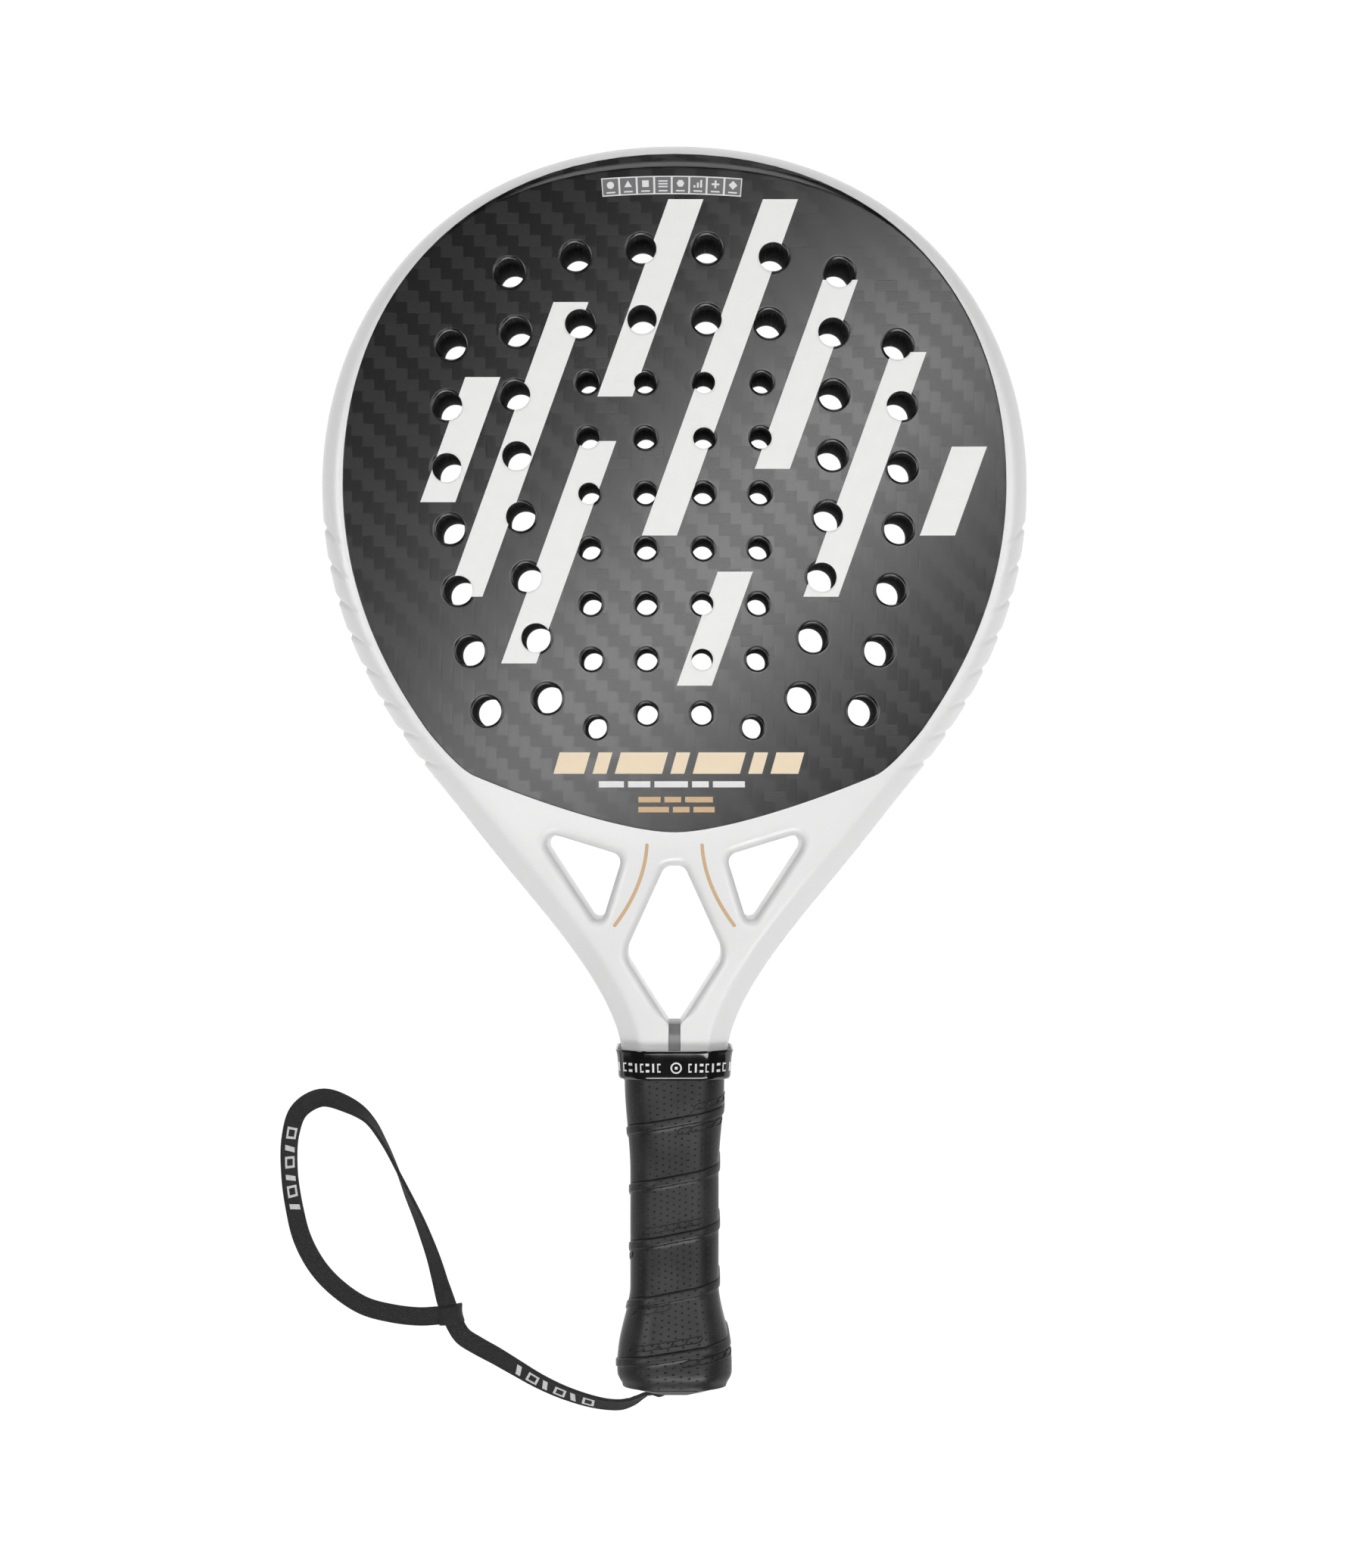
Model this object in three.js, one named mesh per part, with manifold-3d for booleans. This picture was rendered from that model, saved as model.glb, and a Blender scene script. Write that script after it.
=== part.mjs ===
// Padel racket lying flat on its back face.
// Millimetres. +Y runs from the butt to the crown of the head, +X to the right, +Z up
// through the thickness. The origin is under the middle of the racket, on the surface it lies on.

import * as THREE from 'three';
import { mergeVertices } from 'three/addons/utils/BufferGeometryUtils.js';
import Module from 'manifold-3d';

// ---- driving dimensions ----------------------------------------------------

const LENGTH = 455;
const THICKNESS = 38;
const HEAD_HALF_WIDTH = 128.6;
const WIDEST_Y = 103;
const NECK_HALF_WIDTH = 19.3;
const NECK_Y = -101.5;
const NECK_BOTTOM_Y = -103.6;
const NECK_HALF_DEPTH = 15.2;
const NECK_FLAT = 0.62;
const GAP = 0.3;

const CROWN_Y = LENGTH / 2;
const BUTT_Y = -LENGTH / 2;
const MID_Z = THICKNESS / 2;

// rounded rim of the frame
const RIM_ROUND = 9.2;
const RIM_AT_CROWN = 6.6;
const RIM_AT_SIDE = 9.2;
const RIM_FULLNESS = 2.4;

// hitting faces and their core
const SKIN = 1.2;
const SKIN_LAP = 2.7;
const FACE_BOTTOM_Y = -22.8;

// drilled holes
const LARGE_HOLE = 5.28;
const SMALL_HOLE = 3.87;
const HOLE_SIDES_IN_SKIN = 8;
const HOLE_SIDES_IN_CORE = 6;

// hollow of the frame tube
const TUBE_WALL = 3;
const TUBE_HOLLOW = 5;
const TUBE_HOLLOW_HALF_DEPTH = 15;
const LEG_HOLLOW_HALF_DEPTH = 4.2;
const LEG_HOLLOW_X = [4.6, 9.4];

// slot between the two legs of the frame tube
const FILLER_HALF_WIDTH = 2.05;
const THROAT_FLOOR_Y = -92.6;

// handle, measured over the overgrip
const GRIP_HALF_WIDTH = 15.97;
const GRIP_DEPTH_RATIO = 0.88;
const GRIP_FLAT = 0.46;
const TOP_FLARE = 2.05;
const BUTT_FLARE = 4.7;
const OVERGRIP = 0.8;
const BASE_GRIP = 1.6;
const SLEEVE = 1;
const OVERGRIP_Y = [-224.2, -104.3];
const BASE_GRIP_Y = [-196.6, -104.3];
const SLEEVE_Y = [-214, -104];
const LEG_BOTTOM_Y = -213.5;
const FOAM_PLUG_TOP_Y = -172;

// butt cap and its strap slot
const CAP_TOP_Y = -197;
const CAP_EDGE_Y = -224.4;
const CAP_EDGE_HALF_WIDTH = 18.3;
const CAP_END_HALF_WIDTH = 9.8;
const CAP_PLATE_Y = -224;
const SLOT_X = -3;
const SLOT_Z = 15.5;
const SLOT_HALF_THICKNESS = 1.2;
const SLOT_HALF_HEIGHT = 4.3;

// collar over the top of the grip
const COLLAR_Y = [-112.2, -101.5];
const COLLAR_HALF_WIDTH = [20.3, 21.2];
const COLLAR_WALL = 1.3;
const TAPE_Y = [-110.3, -104.8];
const TAPE = 0.3;

// wrist strap, flat webbing
const STRAP_WIDTH = 7.3;
const STRAP_THICKNESS = 1.3;
const STRAP_STEPS = 66;

// x, y and height of the middle of the webbing, and its roll in degrees: 90 stands on edge
const STRAP_ROUTE = [
  [-3, -221.2, 15.5, 90],
  [-3, -224.5, 15.5, 90],
  [-3.1, -227.8, 15.4, 90],
  [-4.4, -229.7, 14.6, 88],
  [-7, -230.6, 12.6, 84],
  [-10, -231.6, 9.6, 77],
  [-13, -233.6, 6.8, 69],
  [-16, -235.8, 5, 60],
  [-20, -236.8, 4, 53],
  [-25, -237, 3.5, 48],
  [-32, -235.7, 3.2, 43],
  [-41.5, -232.9, 3, 38],
  [-50.5, -229, 2.7, 31],
  [-60, -224.6, 2.2, 22],
  [-69, -219.9, 1.7, 12],
  [-76.5, -215.8, 1.5, 4],
  [-80.6, -212, 2, 0],
  [-82.2, -207.6, 2.6, 0],
  [-83.6, -203.7, 2.8, 0],
  [-85, -199, 2.7, 4],
  [-87, -191.5, 2.6, 28],
  [-89.6, -182, 3.2, 46],
  [-94.5, -168.6, 3.7, 62],
  [-98.8, -158.8, 3.9, 74],
  [-102.8, -149.6, 3.9, 90],
  [-107.9, -139, 3.9, 112],
  [-113.8, -130, 3.1, 140],
  [-121.5, -124.9, 2, 162],
  [-131.5, -122.3, 1.2, 176],
  [-139.8, -127, 1.2, 184],
  [-143, -136.3, 1.9, 200],
  [-143.3, -150.3, 2.2, 206],
  [-141.3, -164.5, 1.9, 198],
  [-138.6, -175, 1.4, 188],
  [-133.2, -185.3, 1.1, 182],
  [-126, -192.7, 1, 180],
  [-116, -199, 1, 180],
  [-104, -203.4, 1.1, 180],
  [-95, -205.9, 1.6, 180],
  [-90.7, -206, 2.2, 180],
];

// keeper: the sewn eye at the end of the strap that holds the loop closed
const KEEPER_AT = [-83.6, -203.7];
const KEEPER_TURN = THREE.MathUtils.degToRad(18);
const KEEPER_SIZE = [10.8, 7.3, 5.2];
const KEEPER_SLOT = [8.1, 2.1];
const KEEPER_SLOT_Z = 2.8;

// ---- finishes --------------------------------------------------------------

const finish = (color, roughness) => new THREE.MeshStandardMaterial({ color, roughness, metalness: 0 });
const WHITE_LACQUER = finish(0xe6e6e4, 0.25);
const CARBON = finish(0x3a3a3c, 0.35);
const EVA_FOAM = finish(0x1a1a1a, 0.8);
const GREY_FILLER = finish(0x8b8b8b, 0.5);
const LAMINATE = finish(0x202022, 0.5);
const PU_FOAM = finish(0xcfc6a8, 0.9);
const CAP_PLASTIC = finish(0x4a4a4a, 0.5);
const GRIP_RUBBER = finish(0x3c3c3c, 0.7);
const TAPE_VINYL = finish(0x111111, 0.4);
const COLLAR_RUBBER = finish(0x0a0a0a, 0.2);
const WEBBING = finish(0x2c2c2c, 0.9);

// ---- solids ----------------------------------------------------------------

const wasm = await Module();
wasm.setup();

const vec = (x, y) => new THREE.Vector2(x, y);

function toSolid(geometry) {
  const bare = geometry.index ? geometry.clone() : geometry;
  bare.deleteAttribute('normal');
  bare.deleteAttribute('uv');
  const welded = mergeVertices(bare, 1e-4);
  return new wasm.Manifold(new wasm.Mesh({
    numProp: 3,
    vertProperties: new Float32Array(welded.attributes.position.array),
    triVerts: new Uint32Array(welded.index.array),
  }));
}

function toGeometry(solid) {
  const mesh = solid.getMesh();
  const geometry = new THREE.BufferGeometry();
  geometry.setAttribute('position', new THREE.BufferAttribute(mesh.vertProperties, 3));
  geometry.setIndex(new THREE.BufferAttribute(mesh.triVerts, 1));
  geometry.computeVertexNormals();
  return geometry;
}

// The triangles that close one ring: a fan across a convex ring, or the ring's plan cut into ears.
function capTriangles(ring, inPlan) {
  if (inPlan) {
    return THREE.ShapeUtils.triangulateShape(ring.map((p) => vec(p.x, p.y)), []);
  }
  return ring.slice(2).map((_, i) => [0, i + 1, i + 2]);
}

// A closed surface through rings of points. Open stacks of rings are capped at both ends,
// and a looped stack joins its last ring to its first one.
function throughRings(rings, { looped = false, inPlan = false } = {}) {
  const size = rings[0].length;
  const positions = rings.flat().flatMap((p) => [p.x, p.y, p.z]);
  const index = [];
  const bands = looped ? rings.length : rings.length - 1;
  for (let r = 0; r < bands; r += 1) {
    const low = r * size;
    const high = ((r + 1) % rings.length) * size;
    for (let i = 0; i < size; i += 1) {
      const j = (i + 1) % size;
      index.push(low + i, low + j, high + j, low + i, high + j, high + i);
    }
  }
  if (!looped) {
    const last = (rings.length - 1) * size;
    capTriangles(rings[0], inPlan).forEach(([a, b, c]) => index.push(c, b, a));
    capTriangles(rings.at(-1), inPlan).forEach(([a, b, c]) => index.push(last + a, last + b, last + c));
  }
  const geometry = new THREE.BufferGeometry();
  geometry.setAttribute('position', new THREE.Float32BufferAttribute(positions, 3));
  geometry.setIndex(index);
  return facingOut(geometry);
}

function facingOut(geometry) {
  const at = (i) => new THREE.Vector3().fromBufferAttribute(geometry.attributes.position, i);
  const index = geometry.index.array;
  let volume = 0;
  for (let i = 0; i < index.length; i += 3) {
    volume += at(index[i]).dot(at(index[i + 1]).cross(at(index[i + 2])));
  }
  if (volume < 0) {
    geometry.setIndex(Array.from(index).reverse());
  }
  geometry.computeVertexNormals();
  return geometry;
}

function slabGeometry(outline, z0, z1, holes = []) {
  const shape = new THREE.Shape(outline);
  shape.holes = holes.map((points) => new THREE.Path(points));
  const slab = new THREE.ExtrudeGeometry(shape, { depth: z1 - z0, bevelEnabled: false });
  return slab.translate(0, 0, z0);
}

const slab = (outline, z0, z1) => toSolid(slabGeometry(outline, z0, z1));

function block(x0, x1, y0, y1, z0, z1) {
  return slab([vec(x0, y0), vec(x1, y0), vec(x1, y1), vec(x0, y1)], z0, z1);
}

const joined = (...solids) => solids.reduce((all, next) => all.add(next));
const cut = (solid, ...tools) => tools.reduce((left, tool) => left.subtract(tool), solid);
const mirrored = (points) => points.map((p) => vec(-p.x, p.y)).reverse();

// ---- plan outlines ---------------------------------------------------------

// Right half of a symmetric outline, listed from the crown down, as a full loop.
function bothSides(half) {
  const rightUp = [...half].reverse();
  const leftDown = half.filter((p) => p.x > 1e-6).map((p) => vec(-p.x, p.y));
  return [...rightUp, ...leftDown];
}

// Right half of the racket's silhouette, from the crown down to inside the collar.
function racketHalf() {
  const armTop = vec(86, -5);
  const armFoot = vec(50.2, -48.4);
  const armWay = armTop.clone().sub(armFoot).normalize();
  const neck = vec(NECK_HALF_WIDTH, NECK_Y);
  const crown = new THREE.CubicBezierCurve(
    vec(0, CROWN_Y), vec(82, CROWN_Y), vec(HEAD_HALF_WIDTH, WIDEST_Y + 65.3), vec(HEAD_HALF_WIDTH, WIDEST_Y),
  );
  const cheek = new THREE.CubicBezierCurve(
    vec(HEAD_HALF_WIDTH, WIDEST_Y), vec(HEAD_HALF_WIDTH, WIDEST_Y - 43.5),
    armTop.clone().addScaledVector(armWay, 38.8), armTop,
  );
  const neckCurve = new THREE.CubicBezierCurve(
    armFoot, armFoot.clone().addScaledVector(armWay, -20.3), vec(NECK_HALF_WIDTH + 1.9, NECK_Y + 16.2), neck,
  );
  return [
    ...crown.getPoints(11),
    ...cheek.getPoints(7).slice(1),
    ...neckCurve.getPoints(5),
    vec(NECK_HALF_WIDTH - 1.2, NECK_Y - 12),
  ];
}

// The same half outline moved inwards, by an amount that may change with height y.
function insetHalf(half, insetAt) {
  return half.map((p, i) => {
    const before = i > 0 ? half[i - 1] : vec(-half[1].x, half[1].y);
    const after = half[Math.min(i + 1, half.length - 1)];
    const along = after.clone().sub(before).normalize();
    const inset = insetAt(p.y);
    return vec(Math.max(0, p.x + along.y * inset), p.y - along.x * inset);
  });
}

function rimWidth(y) {
  const down = THREE.MathUtils.smoothstep(CROWN_Y - y, 0, CROWN_Y - WIDEST_Y);
  return THREE.MathUtils.lerp(RIM_AT_CROWN, RIM_AT_SIDE, down);
}

// Right half of the hitting face: the rim's inner edge, a tight corner, and a shallow curve below.
function faceHalf(inset) {
  const rim = insetHalf(racketHalf(), (y) => rimWidth(y) + inset).filter((p) => p.y > 5);
  const corner = vec(77.6 - 1.1 * inset, inset);
  const below = vec(72.2 - inset, -2.4 + inset);
  const turn = new THREE.QuadraticBezierCurve(rim.at(-1), corner, below);
  const bottom = new THREE.CubicBezierCurve(
    below, vec(47, -13 + inset), vec(16, FACE_BOTTOM_Y + inset), vec(0, FACE_BOTTOM_Y + inset),
  );
  return [...rim, ...turn.getPoints(3).slice(1), ...bottom.getPoints(6).slice(1)];
}

const faceOutline = (inset) => bothSides(faceHalf(inset));

// A polygon whose corners [x, y, cut] are rounded, starting cut before each corner.
function roundedPolygon(corners) {
  const points = [];
  corners.forEach(([x, y, reach], i) => {
    const here = vec(x, y);
    const [bx, by] = corners.at(i - 1);
    const [ax, ay] = corners[(i + 1) % corners.length];
    const start = here.clone().add(vec(bx, by).sub(here).setLength(reach));
    const end = here.clone().add(vec(ax, ay).sub(here).setLength(reach));
    points.push(...new THREE.QuadraticBezierCurve(start, here, end).getPoints(3));
  });
  return points;
}

const sideWindow = () => roundedPolygon([[18.7, -31.2, 3.5], [26.8, -57.6, 5.5], [50.4, -21.4, 9]]);

const centreWindow = () => roundedPolygon([
  [-3.5, -34.9, 2.4], [-16.9, -64.4, 2.1], [-16.9, -69, 2.1], [-2.2, THROAT_FLOOR_Y, 1.5],
  [2.2, THROAT_FLOOR_Y, 1.5], [16.9, -69, 2.1], [16.9, -64.4, 2.1], [3.5, -34.9, 2.4],
]);

// Everything between the two arms of the frame, below the face: the place of the throat bridge.
function throatRegion(grow) {
  const right = [vec(58 + grow, 2), vec(40 + grow, -23.5), vec(25.2 + grow, -55.5), vec(14 + grow, -70)];
  return [...right, ...mirrored(right)];
}

// ---- drilled holes ---------------------------------------------------------

// Centres and radii of every hole: two arched rows and two curved columns of large holes
// around a tapered grid of small ones.
function holeCentres() {
  const right = [];
  for (let k = 0; k < 3; k += 1) {
    const x = 11.8 + 23.75 * k;
    right.push([x, Math.sqrt(201 ** 2 - x ** 2) - 13.4, LARGE_HOLE]);
  }
  for (let k = 0; k < 4; k += 1) {
    const x = 11.7 + 22.2 * k + 0.22 * k ** 2;
    right.push([x, Math.sqrt(348 ** 2 - x ** 2) - 186, LARGE_HOLE]);
  }
  for (let k = 0; k < 6; k += 1) {
    const down = k / 5;
    right.push([57.2 - 11.5 * down ** 2, 134.6 - 109.2 * down, LARGE_HOLE]);
    right.push([82 - 19.5 * (down - 0.14) ** 2, 130.8 - 22.4 * k + 0.08 * k ** 2, LARGE_HOLE]);
    right.push([10.7 - 0.14 * k, 139.1 - 19.93 * k, SMALL_HOLE]);
    right.push([31.4 - 0.32 * k, 139.1 - 19.93 * k, SMALL_HOLE]);
  }
  right.push([9.9, 19.9, SMALL_HOLE], [28.2, 14.9, SMALL_HOLE]);
  return right.flatMap(([x, y, r]) => [[x, y, r], [-x, y, r]]);
}

function drilledPlate(outline, z0, z1, sides) {
  const holes = holeCentres().map(([x, y, radius]) => {
    const step = (2 * Math.PI) / sides;
    return Array.from({ length: sides }, (_, i) => (
      vec(x + radius * Math.cos(-i * step), y + radius * Math.sin(-i * step))
    ));
  });
  return slabGeometry(outline, z0, z1, holes);
}

// ---- frame and throat ------------------------------------------------------

// Solid body of head and throat, rounded over its whole outside.
function racketBody() {
  const half = racketHalf();
  const power = 2 / RIM_FULLNESS;
  const rings = [-90, -50, 0, 50, 90].map((degrees) => {
    const angle = THREE.MathUtils.degToRad(degrees);
    const inset = RIM_ROUND * (1 - Math.cos(angle) ** power);
    const z = MID_Z + Math.sign(angle) * MID_Z * Math.abs(Math.sin(angle)) ** power;
    return bothSides(insetHalf(half, () => inset)).map((p) => new THREE.Vector3(p.x, p.y, z));
  });
  return toSolid(throughRings(rings, { inPlan: true })).intersect(throatEnvelope());
}

// Room that thins the throat towards the neck and gives its flanks their slanted sides.
function throatEnvelope() {
  const stations = [
    [NECK_BOTTOM_Y, NECK_HALF_WIDTH, NECK_HALF_DEPTH],
    [NECK_Y, NECK_HALF_WIDTH + 0.2, NECK_HALF_DEPTH],
    [-75, 36, 16.6],
    [-55, 60, 17.6],
    [-8, 140, MID_Z + 1],
    [CROWN_Y + 5, 200, MID_Z + 1],
  ];
  const rings = stations.map(([y, halfWidth, halfDepth]) => octagonRing(halfWidth, halfDepth, y, NECK_FLAT));
  return toSolid(throughRings(rings));
}

// The room that the faces and the core take: through the middle, wider where the skins lap the rim.
function faceRoom() {
  const lap = faceOutline(-GAP);
  return joined(
    slab(faceOutline(SKIN_LAP), -1, THICKNESS + 1),
    slab(lap, THICKNESS - SKIN - GAP, THICKNESS + 1),
    slab(lap, -1, SKIN + GAP),
  );
}

function throatWindows() {
  const right = sideWindow();
  return [centreWindow(), right, mirrored(right)].map((outline) => slab(outline, -1, THICKNESS + 1));
}

// Hollow inside the frame tube, open at the ends of both legs.
function tubeHollow() {
  const half = racketHalf();
  const outer = insetHalf(half, () => TUBE_WALL).filter((p) => p.y > -62);
  const inner = insetHalf(half, () => TUBE_WALL + TUBE_HOLLOW).filter((p) => p.y > -62);
  const hoop = [...bothSides(outer), ...bothSides(inner).reverse()];
  const [legIn, legOut] = LEG_HOLLOW_X;
  const leg = [
    inner.at(-1), outer.at(-1), vec(legOut, NECK_Y), vec(legOut, LEG_BOTTOM_Y - 1),
    vec(legIn, LEG_BOTTOM_Y - 1), vec(legIn, NECK_Y),
  ];
  const legSlab = (outline) => slab(outline, MID_Z - LEG_HOLLOW_HALF_DEPTH, MID_Z + LEG_HOLLOW_HALF_DEPTH);
  return joined(
    slab(hoop, MID_Z - TUBE_HOLLOW_HALF_DEPTH, MID_Z + TUBE_HOLLOW_HALF_DEPTH),
    legSlab(leg),
    legSlab(mirrored(leg)),
  );
}

const fillerRoom = () => block(
  -FILLER_HALF_WIDTH - GAP, FILLER_HALF_WIDTH + GAP, LEG_BOTTOM_Y - 5, THROAT_FLOOR_Y + 4, -1, THICKNESS + 1,
);

function openedBody() {
  return cut(racketBody(), faceRoom(), ...throatWindows());
}

function frameTube() {
  const legs = toSolid(shaftSolid(OVERGRIP + BASE_GRIP + SLEEVE + 3 * GAP, LEG_BOTTOM_Y, NECK_Y + 4));
  const arms = cut(openedBody(), slab(throatRegion(GAP / 2), -1, THICKNESS + 1));
  return toGeometry(cut(joined(arms, legs), tubeHollow(), fillerRoom()));
}

const throatBridge = () => toGeometry(openedBody().intersect(slab(throatRegion(-GAP / 2), -1, THICKNESS + 1)));

// Filler between the legs of the frame, seen as a strip up the middle of the neck.
function neckFiller() {
  const half = FILLER_HALF_WIDTH;
  const inNeck = block(-half, half, NECK_BOTTOM_Y, THROAT_FLOOR_Y, 0, THICKNESS).intersect(throatEnvelope());
  const inHandle = block(-half, half, LEG_BOTTOM_Y, NECK_Y, MID_Z - 9.3, MID_Z + 9.3);
  return toGeometry(joined(inNeck, inHandle));
}

// ---- handle ----------------------------------------------------------------

// Half width over the overgrip where the handle has no butt flare yet.
function shaftHalfWidth(y) {
  return GRIP_HALF_WIDTH + TOP_FLARE * THREE.MathUtils.smoothstep(y, -147, -113);
}

function gripHalfWidth(y) {
  return shaftHalfWidth(y) + BUTT_FLARE * THREE.MathUtils.smoothstep(-y, 188, 216);
}

// An eight-sided section centred on the handle's axis. flat is the share of each side that stays
// flat before the slanted corner begins.
function octagonRing(halfWidth, halfDepth, y, flat = GRIP_FLAT) {
  const corners = [[1, flat], [flat, 1], [-flat, 1], [-1, flat], [-1, -flat], [-flat, -1], [flat, -1], [1, -flat]];
  return corners.map(([x, z]) => new THREE.Vector3(halfWidth * x, y, MID_Z + halfDepth * z));
}

// A ring inset below the overgrip's surface, and one that ignores the butt flare.
function gripRing(inset, y) {
  const half = gripHalfWidth(y);
  return octagonRing(half - inset, half * GRIP_DEPTH_RATIO - inset, y);
}

function shaftRing(inset, y) {
  const half = shaftHalfWidth(y);
  return octagonRing(half - inset, half * GRIP_DEPTH_RATIO - inset, y);
}

// Heights of the rings from y0 up to y1, with one at each bend of the handle's profile.
function gripStations(y0, y1) {
  const bends = [-216, -209, -202, -195, -188, -147, -137, -130, -123, -113];
  return [y0, ...bends.filter((y) => y > y0 + 0.5 && y < y1 - 0.5), y1];
}

function shaftSolid(inset, y0, y1) {
  return throughRings(gripStations(y0, y1).map((y) => shaftRing(inset, y)));
}

// A layer of the handle under the overgrip.
function shaftLayer(inset, wall, [y0, y1]) {
  const stations = gripStations(y0, y1);
  const outside = stations.map((y) => shaftRing(inset, y));
  const inside = stations.map((y) => shaftRing(inset + wall, y)).reverse();
  return throughRings([...outside, ...inside], { looped: true });
}

// The overgrip turns in over the cap's edge at its lower end.
function overgrip() {
  const [y0, y1] = OVERGRIP_Y;
  const stations = gripStations(-219, y1);
  const edge = (wall) => octagonRing(
    CAP_EDGE_HALF_WIDTH + 0.2 - wall, (CAP_EDGE_HALF_WIDTH + 0.2) * GRIP_DEPTH_RATIO - wall, y0,
  );
  const outside = [edge(0), ...stations.map((y) => gripRing(0, y))];
  const inside = [edge(OVERGRIP), ...stations.map((y) => gripRing(OVERGRIP, y))].reverse();
  return throughRings([...outside, ...inside], { looped: true });
}

function band([y0, y1], [half0, half1], wall, flat) {
  const ring = (half, y, less) => octagonRing(half - less, half * GRIP_DEPTH_RATIO - less, y, flat);
  const rings = [ring(half0, y0, 0), ring(half1, y1, 0), ring(half1, y1, wall), ring(half0, y0, wall)];
  return throughRings(rings, { looped: true });
}

function finishingTape() {
  const half = gripHalfWidth(TAPE_Y[1]) + GAP + TAPE;
  return band(TAPE_Y, [half, half], TAPE, GRIP_FLAT);
}

const rubberCollar = () => band(COLLAR_Y, COLLAR_HALF_WIDTH, COLLAR_WALL, NECK_FLAT);

// Foam that closes the end of one leg of the frame tube.
function foamPlug(side) {
  const [legIn, legOut] = LEG_HOLLOW_X;
  const half = LEG_HOLLOW_HALF_DEPTH - GAP;
  const xs = [side * (legIn + GAP), side * (legOut - GAP)].sort((a, b) => a - b);
  return toGeometry(block(xs[0], xs[1], LEG_BOTTOM_Y + 0.5, FOAM_PLUG_TOP_Y, MID_Z - half, MID_Z + half));
}

// ---- butt cap and strap ----------------------------------------------------

function buttCap() {
  const under = OVERGRIP + GAP;
  const capRing = (half, y) => octagonRing(half, half * GRIP_DEPTH_RATIO, y);
  const outside = toSolid(throughRings([
    capRing(CAP_END_HALF_WIDTH, BUTT_Y),
    capRing(CAP_EDGE_HALF_WIDTH, CAP_EDGE_Y - 0.2),
    octagonRing(CAP_EDGE_HALF_WIDTH - under, CAP_EDGE_HALF_WIDTH * GRIP_DEPTH_RATIO - under, CAP_EDGE_Y + 0.4),
    ...gripStations(-219, CAP_TOP_Y).map((y) => gripRing(under, y)),
  ]));
  const sleeveRoom = toSolid(shaftSolid(OVERGRIP + BASE_GRIP + GAP, SLEEVE_Y[0] - GAP, CAP_TOP_Y + 1));
  const knotRoom = block(SLOT_X - 5, SLOT_X + 5, CAP_PLATE_Y, SLEEVE_Y[0], SLOT_Z - 6, SLOT_Z + 6);
  const slot = block(
    SLOT_X - SLOT_HALF_THICKNESS, SLOT_X + SLOT_HALF_THICKNESS, BUTT_Y - 1, CAP_PLATE_Y + 1,
    SLOT_Z - SLOT_HALF_HEIGHT, SLOT_Z + SLOT_HALF_HEIGHT,
  );
  return toGeometry(cut(outside, sleeveRoom, knotRoom, slot));
}

// The stopper knot that keeps the strap from pulling out of the cap.
function strapKnot() {
  const knot = new THREE.SphereGeometry(1, 10, 6);
  knot.scale(4, 2.6, 4.9);
  return knot.translate(SLOT_X, -218.2, SLOT_Z);
}

function strapRing(curve, t) {
  const middle = curve.getPoint(t);
  const along = curve.getTangent(t);
  const side = new THREE.Vector3().crossVectors(along, new THREE.Vector3(0, 0, 1)).normalize();
  const above = new THREE.Vector3().crossVectors(side, along);
  const place = t * (STRAP_ROUTE.length - 1);
  const before = Math.min(Math.floor(place), STRAP_ROUTE.length - 2);
  const roll = THREE.MathUtils.degToRad(
    THREE.MathUtils.lerp(STRAP_ROUTE[before][3], STRAP_ROUTE[before + 1][3], place - before),
  );
  const wide = side.clone().multiplyScalar(Math.cos(roll)).addScaledVector(above, Math.sin(roll));
  const thick = above.clone().multiplyScalar(Math.cos(roll)).addScaledVector(side, -Math.sin(roll));
  const w = STRAP_WIDTH / 2;
  const h = STRAP_THICKNESS / 2;
  const section = [[w, -0.5], [w, 0.5], [w - 0.5, 1], [0.5 - w, 1], [-w, 0.5], [-w, -0.5], [0.5 - w, -1], [w - 0.5, -1]];
  return section.map(([across, rise]) => (
    middle.clone().addScaledVector(wide, across).addScaledVector(thick, rise * h)
  ));
}

function wristStrap() {
  const points = STRAP_ROUTE.map(([x, y, z]) => new THREE.Vector3(x, y, z));
  const curve = new THREE.CatmullRomCurve3(points, false, 'centripetal');
  const rings = Array.from({ length: STRAP_STEPS + 1 }, (_, i) => strapRing(curve, i / STRAP_STEPS));
  return throughRings(rings);
}

function strapKeeper() {
  const [long, deep, high] = KEEPER_SIZE;
  const body = block(-long / 2, long / 2, -deep / 2, deep / 2, 0, high);
  const [slotWide, slotHigh] = KEEPER_SLOT;
  const eye = block(
    -slotWide / 2, slotWide / 2, -deep, deep, KEEPER_SLOT_Z - slotHigh / 2, KEEPER_SLOT_Z + slotHigh / 2,
  );
  return toGeometry(cut(body, eye));
}

// ---- assembly --------------------------------------------------------------

const racket = new THREE.Group();

function part(name, geometry, material) {
  const mesh = new THREE.Mesh(geometry, material);
  mesh.name = name;
  racket.add(mesh);
  return mesh;
}

part('frame_tube', frameTube(), WHITE_LACQUER);
part('throat_bridge', throatBridge(), WHITE_LACQUER);
part('neck_filler', neckFiller(), GREY_FILLER);
part('foam_core', drilledPlate(faceOutline(SKIN_LAP + GAP), SKIN + GAP, THICKNESS - SKIN - GAP, HOLE_SIDES_IN_CORE), EVA_FOAM);
part('front_skin', drilledPlate(faceOutline(0), THICKNESS - SKIN, THICKNESS, HOLE_SIDES_IN_SKIN), CARBON);
part('back_skin', drilledPlate(faceOutline(0), 0, SKIN, HOLE_SIDES_IN_SKIN), CARBON);

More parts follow.
